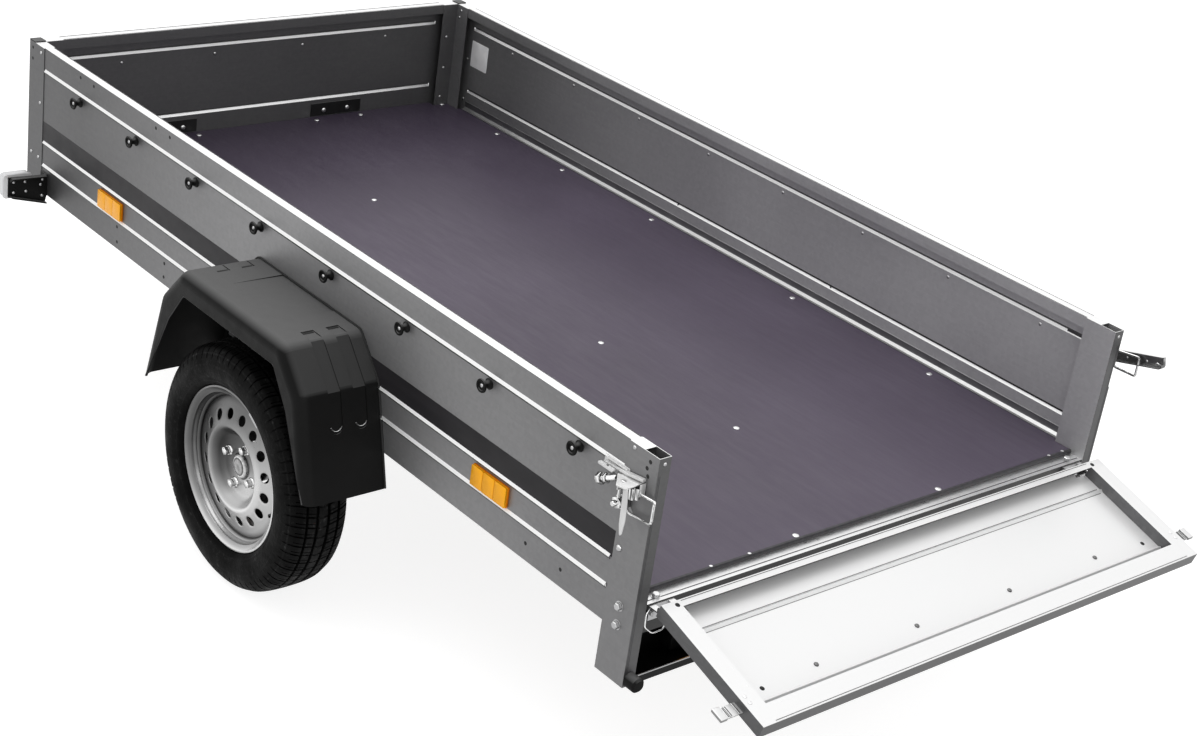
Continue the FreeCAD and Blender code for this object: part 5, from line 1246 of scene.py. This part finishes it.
def makeGateFasteners():
    field, outer, high = 22, -4.5, knobSizes["gateHeight"]       # the pan's inner rim and its sheet
    small = [(onGate(field, y, 40 + 44 * k), gateIn) for k, y in grid(range(5), (-598, 598))]
    small += [(onGate(field, y, 266), gateIn) for y in (-560, -280, 0, 280, 560)]
    domeHeads("gateRivets", small, 1.9, 0.4, "tailgate", "bright_sheet")
    domeHeads("gateStuds", [(onGate(outer, y, high), gateIn) for y in knobSizes["across"]], 5.2, 3.4, "tailgate",
              material="stud")
    # painted shade: thin dark strips along the folds of the gate's frame: start and rise on the section, its width
    # and height, half the length
    foldShadows = [slab(boxOutline((out, rise), (out + wide, rise + tall)), -half, half, gateSide, 0)
            for out, rise, wide, tall, half in ((22, 297.4, 0.7, 1, 600), (22, 5.8, 0.7, 1, 588),
                                                (-4.6, 58.4, 0.5, 1.3, 584), (-4.6, 70.6, 0.5, 1.3, 584),
                                                (-4.6, 249, 0.5, 0.9, 584))]
    gather("gateHems", foldShadows, "tailgate", "bright_sheet", "stud", 0)
    holes("gateHoles", [(onGate(*place), gateIn) for place in ((field, 601, 13), (field, -601, 13),
                                                               (outer, 550, 216), (outer, -559, 219))],
          "tailgate", 5)
    hexHeads("leafBolts", [(onGate(-9, y, 28), gateOut) for y in (-603, -587, 587, 603)], 4.6, 3.2, "tailgate")
    domeHeads("strikerRivets", [(onGate(field, y, z), gateIn) for y, z in grid((-620, 620), (233, 248))], 4.4, 1.8,
              "tailgate")


strikerSizes = {
    "middle": 240, "slots": (638, 657, 664, -639.3, -658.3, -665.3), "slotHalf": 11, "slotWide": 1.3,
    # start, end, half height, depth from and to, bevel, steps
    "parts": [(624, 672, 13, 4, 6.2, 0.4, 2), (670, 686.6, 14.5, 2.4, 9.6, 1.6, 3),
              (641, 643.4, 12.5, 5.4, 7.8, 0.5, 2), (660, 662.4, 12.5, 5.4, 7.8, 0.5, 2),
              (624, 628, 13, 2, 9.6, 0.6, 2)],
}


def makeStrikers():
    # strikers with their rolled catch, ribs and slots
    middle, half, wide = strikerSizes["middle"], strikerSizes["slotHalf"], strikerSizes["slotWide"]
    shapes = [slab(boxOutline((near, middle - tall), (far, middle + tall)), low, high, gateFace, bevel, steps)
              for start, end, tall, low, high, bevel, steps in strikerSizes["parts"]
              for near, far in ((start, end), (-end, -start))]
    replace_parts(gather("gateStrikers", shapes, "tailgate", material="striker"), "tailgate_strikers")
    # near-black slots, their darkness painted shade
    slots = [slab(boxOutline((y, middle - half), (y + wide, middle + half)), 6.2, 6.6, gateFace, 0)
             for y in strikerSizes["slots"]]
    gather("strikerSlots", slots, "tailgate", material="paintedHoleShade", smooth=0)


def makeSillFasteners():     # hinge brackets and sill
    hexHeads("hingeBolts", bothSides(spotsAt(rear, -1, grid((571, 619), (-26,)))), 6.2, 4.2)
    hexHeads("sillBolts", bothSides([(onBed(16, 596, -9), up)]), 7.4, 5.6)


makeFloorFasteners()
makeWallFasteners()
makeFrameFasteners()
makeGateFasteners()
makeStrikers()
makeSillFasteners()
print("bolts, rivets and holes")


def alongAxle(x, z, y):      # sections drawn across the trailer's length
    return onBed(x, y, z)


def makeSmallFittings():
    # spring wire that keeps each hinge pin in, with its ring hanging below
    rings = [bentWire([(-26, 602, -14), (-26, 600, -34), (-28, 612, -50), (-26, 634, -52), (-23, 652, -36),
                       (-20, 650, -12), (-16, 640, -6)], 12, 1.5),
             lathed(closed([(5.6, 0), (5.6, 1.6), (3.6, 3)]), onBed(-27, 624.4, -8), left, 20)]
    gather("hingePinWires", rings, material="chrome", smooth=45, both=True)
    # painted shadow: a dark strip along the floor's rear edge
    strip = slab([(32.6, -8.9), (34, -8.9), (34, 0), (38.5, 0), (38.5, 0.9), (32.6, 0.9)], -630, 630, alongAxle, 0.2)
    gather("floorEdging", [strip], slot="black_paint", material="paintedShadow", smooth=30)
    # shadow lines: the sill's folded lip, the rails' seams and the folds down the rear posts
    seams = [blockOf((11, -628, -9), (12.6, 628, -8.4), 0)]
    seams += [blockOf((x - 0.8, -583, 297), (x + 0.8, 583, 297.6), 0) for x in (2371.6, 2349.4)]
    for low, high in (((80, 657.9, 297), (2297, 658.5, 297.6)), ((80, 633.9, 297), (2297, 635.3, 297.6)),
                      ((-0.25, 655.4, -150), (0, 656.3, 262)), ((-0.25, 652.2, -150), (0, 653.1, 262))):
        seam = blockOf(low, high, 0)
        seams += [seam, mirroredMesh(seam)]
    gather("foldSeams", seams, slot="galvanised_sheet", material="paintedShadow", smooth=0)


makeSmallFittings()

guardSizes = {"side": 851.4, "corners": [(316.5, -149), (233, 25), (177, 102)], "channels": (707, 767),
              "start": 164.5, "startHalf": (4.5, 12.5), "startRise": (149.6, 150.8), "end": 2, "face": 292.4,
              "lean": 0.267, "round": 14, "wall": 660.4, "joint": [(334, -149), (276, 67), (198, 153.4)],
              "stay": ((248, 654.5, -140), (322, 657.5, -60))}


def arched(corners, y, rounding, radius):
    # a wire over the wheel through corners given on its front half
    half = [onBed(places["wheel"][0] + x, y, z) for x, z in corners]
    other = [onBed(places["wheel"][0] - x, y, z) for x, z in corners]
    return wire(other + half[::-1], rounding, radius)


def makeGuardDetails():
    # rolled bead round the arch in a paler plastic as a painted highlight, painted shade at the channels' starts,
    # painted highlights on their ends, and a dark strip along the wall as the painted shadow of the gap
    size = guardSizes
    middle, r = places["wheel"][0], size["round"]
    (halfLong, halfWide), (low, high) = size["startHalf"], size["startRise"]
    beads, starts = [arched(size["corners"], size["side"], 16, 1.3)], []
    for channel in size["channels"]:
        for side in (-1, 1):
            place = middle + side * size["start"]
            starts.append(blockOf((place - halfLong, channel - halfWide, low),
                                  (place + halfLong, channel + halfWide, high), 0.5))
            bow = []
            for k in range(9):
                turn = math.radians(200 + 17.5 * k)
                reach = size["face"] - r * math.sin(turn) * size["lean"] - 0.9
                bow.append(onBed(middle + side * reach, channel + r * math.cos(turn),
                                 size["end"] + r * math.sin(turn)))
            beads.append(wire(bow, 0, 1.1))
    seal = arched(size["joint"], size["wall"], 22, 2.1)
    gather("guardSeals", [seal], slot="black_rubber", material="paintedHoleShade", both=True)
    gather("guardBeads", beads, slot="black_plastic", material="guardEdge", both=True)
    gather("guardSlots", starts, slot="black_plastic", material="paintedHoleShade", both=True)
    # flat stays that hold the guards' front feet to the walls' lower flanges
    stay = blockOf(*[(middle + x, y, z) for x, y, z in size["stay"]], 0.8)
    gather("guardStays", [stay], slot="black_paint", both=True)


makeGuardDetails()

armSizes = {"face": 2380, "end": 3049, "outer": 281, "tip": 34}
standSizes = {"x": 2814, "clear": 41, "screw": -38, "top": 52.2, "foot": -499.4}
couplingSizes = {"ball": 3212, "collar": -79, "pin": 3196, "height": -38}


def armSideAt(x):
    # outer side of the drawbar arm at one place along it
    size = armSizes
    return size["outer"] - (x - size["face"]) * ((size["outer"] - size["tip"]) / (size["end"] - size["face"]))


def makeStandFittings():
    # clamp screw with a sliding handle, the end cap of the leg and its weld on the foot
    size = standSizes
    x, z = size["x"], size["screw"]
    y = -armSideAt(x) - size["clear"]
    handle = [(4.2, 0), (5.4, 1.4), (5.4, 7), (4.2, 8), (4.2, 82), (5.4, 83), (5.4, 89), (4.2, 90)]
    screw = [lathed(closed([(11, 0), (11, 9), (8.5, 11)]), onBed(x, y - 26, z), right, 24),
             lathed(threadProfile(5, 6, 34, 2), onBed(x, y - 34, z), right, 20),
             nutMesh(onBed(x, y - 44, z), right, 11, 7),
             lathed(closed([(8.4, 0), (9, 3), (9, 13), (8.4, 16)]), onBed(x, y - 64, z), right, 24),
             lathed(closed(handle), onBed(x - 45, y - 72, z), front, 20)]
    gather("standClampScrew", screw, smooth=45)
    cap = lathed(closed([(24.2, 0), (24.6, 2.6), (22, 6), (12, 7.4), (0, 7.6)]), onBed(x, y, size["top"]), up, 40)
    gather("standTopCap", [cap], "stand", "black_plastic")
    weld = lathed([(24, 0), (29, 0), (27.6, 2), (25.4, 4.6), (24, 6.4), (24, 0)], onBed(x, y, size["foot"]), up, 48)
    gather("standFootWeld", [weld], "stand")


def makeCouplingFittings():
    size = couplingSizes
    x, z = size["pin"], size["height"]
    grip = slab([(3060, 5.4), (3064, 9.2), (3128, 9.2), (3150, 1.8), (3150, -3.4), (3126, 3.4), (3064, 3.4)], -12.4,
                12.4, alongAxle, 2.2, 4)
    collar = lathed([(25.8, 0), (31.5, 0), (31.5, 3), (30, 4.4), (25.8, 4.4), (25.8, 0)],
                    onBed(size["ball"], 0, size["collar"]), up, 64)
    pin = [rod(6, 88, onBed(x, -44, z), left), nutMesh(onBed(x, 34, z), left, 10.5, 8),
           nutMesh(onBed(x, -34, z), right, 10.5, 8)]
    gather("couplingPin", pin + [collar], smooth=40)
    gather("couplingGrip", [grip], slot="black_plastic")
    hexHeads("couplingBolts", bothSides(spotsBeside(left, 30, grid((3142, 3166), (-30,)))), 8, 6)


makeStandFittings()
makeCouplingFittings()
print("fittings of the hinges, the stand and the coupling")

studio = {"reach": 30.0, "floorWhite": 0.42, "floorGlow": 0.84, "worldDiffuse": 0.75}
lights = {"softboxTop": {"place": (0.4, 0.6, 4.6), "target": (-0.2, 0, 0.4), "size": (5.5, 3.6), "power": 70},
          "softboxRear": {"place": (-5.2, 1.8, 3.2), "target": (-0.3, 0, 0.4), "size": (3.0, 2.0), "power": 30}}
cameraView = {"lens": 63.72, "sensor_width": 36, "clip_start": 0.05, "clip_end": 200}
cameraPlace = (-3.7436, 2.9968, 2.4871)
cameraAxes = ((-0.63451316, -0.76090841, 0.13568876), (0.4075983, -0.18025667, 0.89519336),
              (-0.65670136, 0.62331848, 0.4245202))       # its right, its up and the way back from the view


def seenBy(tree, *rays):     # 1 for the kinds of ray named
    path = tree.nodes.new("ShaderNodeLightPath").outputs
    seen = path["Is Camera Ray"]
    for kind in rays:
        seen = maths(tree, "MAXIMUM", seen, path[kind])
    return seen


def makeStudio():
    scene.world = bpy.data.worlds.new("studio")
    scene.world.use_nodes = True
    tree = scene.world.node_tree
    back = tree.nodes["Background"]
    back.inputs["Color"].default_value = (1, 1, 1, 1)
    seen = seenBy(tree, "Is Glossy Ray", "Is Transmission Ray")
    tree.links.new(spread(tree, seen, studio["worldDiffuse"], 1.0, 0.0, 1.0), back.inputs["Strength"])

    reach = studio["reach"]
    mesh = bpy.data.meshes.new("studioFloor")
    mesh.from_pydata([(x, y, 0) for x, y in boxOutline((-reach, -reach), (reach, reach))], [], [(0, 1, 2, 3)])
    floor = bpy.data.objects.new("studioFloor", mesh)
    scene.collection.objects.link(floor)
    material, tree, shader = newMaterial("studioFloor", grey(studio["floorWhite"]), 0.9)
    glow = spread(tree, seenBy(tree, "Is Glossy Ray"), 0.0, studio["floorGlow"], 0.0, 1.0)
    lit = add(tree, "ShaderNodeEmission", [("Strength", glow)])
    join = add(tree, "ShaderNodeAddShader", [(0, shader.outputs[0]), (1, lit.outputs[0])])
    tree.links.new(join.outputs[0], tree.nodes["Material Output"].inputs["Surface"])
    mesh.materials.append(material)


def areaLamp(name, place, target, size, power):
    lamp = bpy.data.lights.new(name, "AREA")
    lamp.shape = "RECTANGLE"
    lamp.size, lamp.size_y = size
    lamp.energy = power
    obj = bpy.data.objects.new(name, lamp)
    scene.collection.objects.link(obj)
    obj.location = place
    obj.rotation_euler = (Vector(target) - Vector(place)).to_track_quat("-Z", "Y").to_euler()


def makeCamera():
    view = bpy.data.cameras.new("camera")
    for key, value in cameraView.items():
        setattr(view, key, value)
    camera = bpy.data.objects.new("camera", view)
    scene.collection.objects.link(camera)
    camera.matrix_world = Matrix.Translation(cameraPlace) @ Matrix(cameraAxes).transposed().to_4x4()
    scene.camera = camera


makeStudio()
for name, settings in lights.items():
    areaLamp(name, **settings)
makeCamera()
scene.view_settings.view_transform = "Standard"
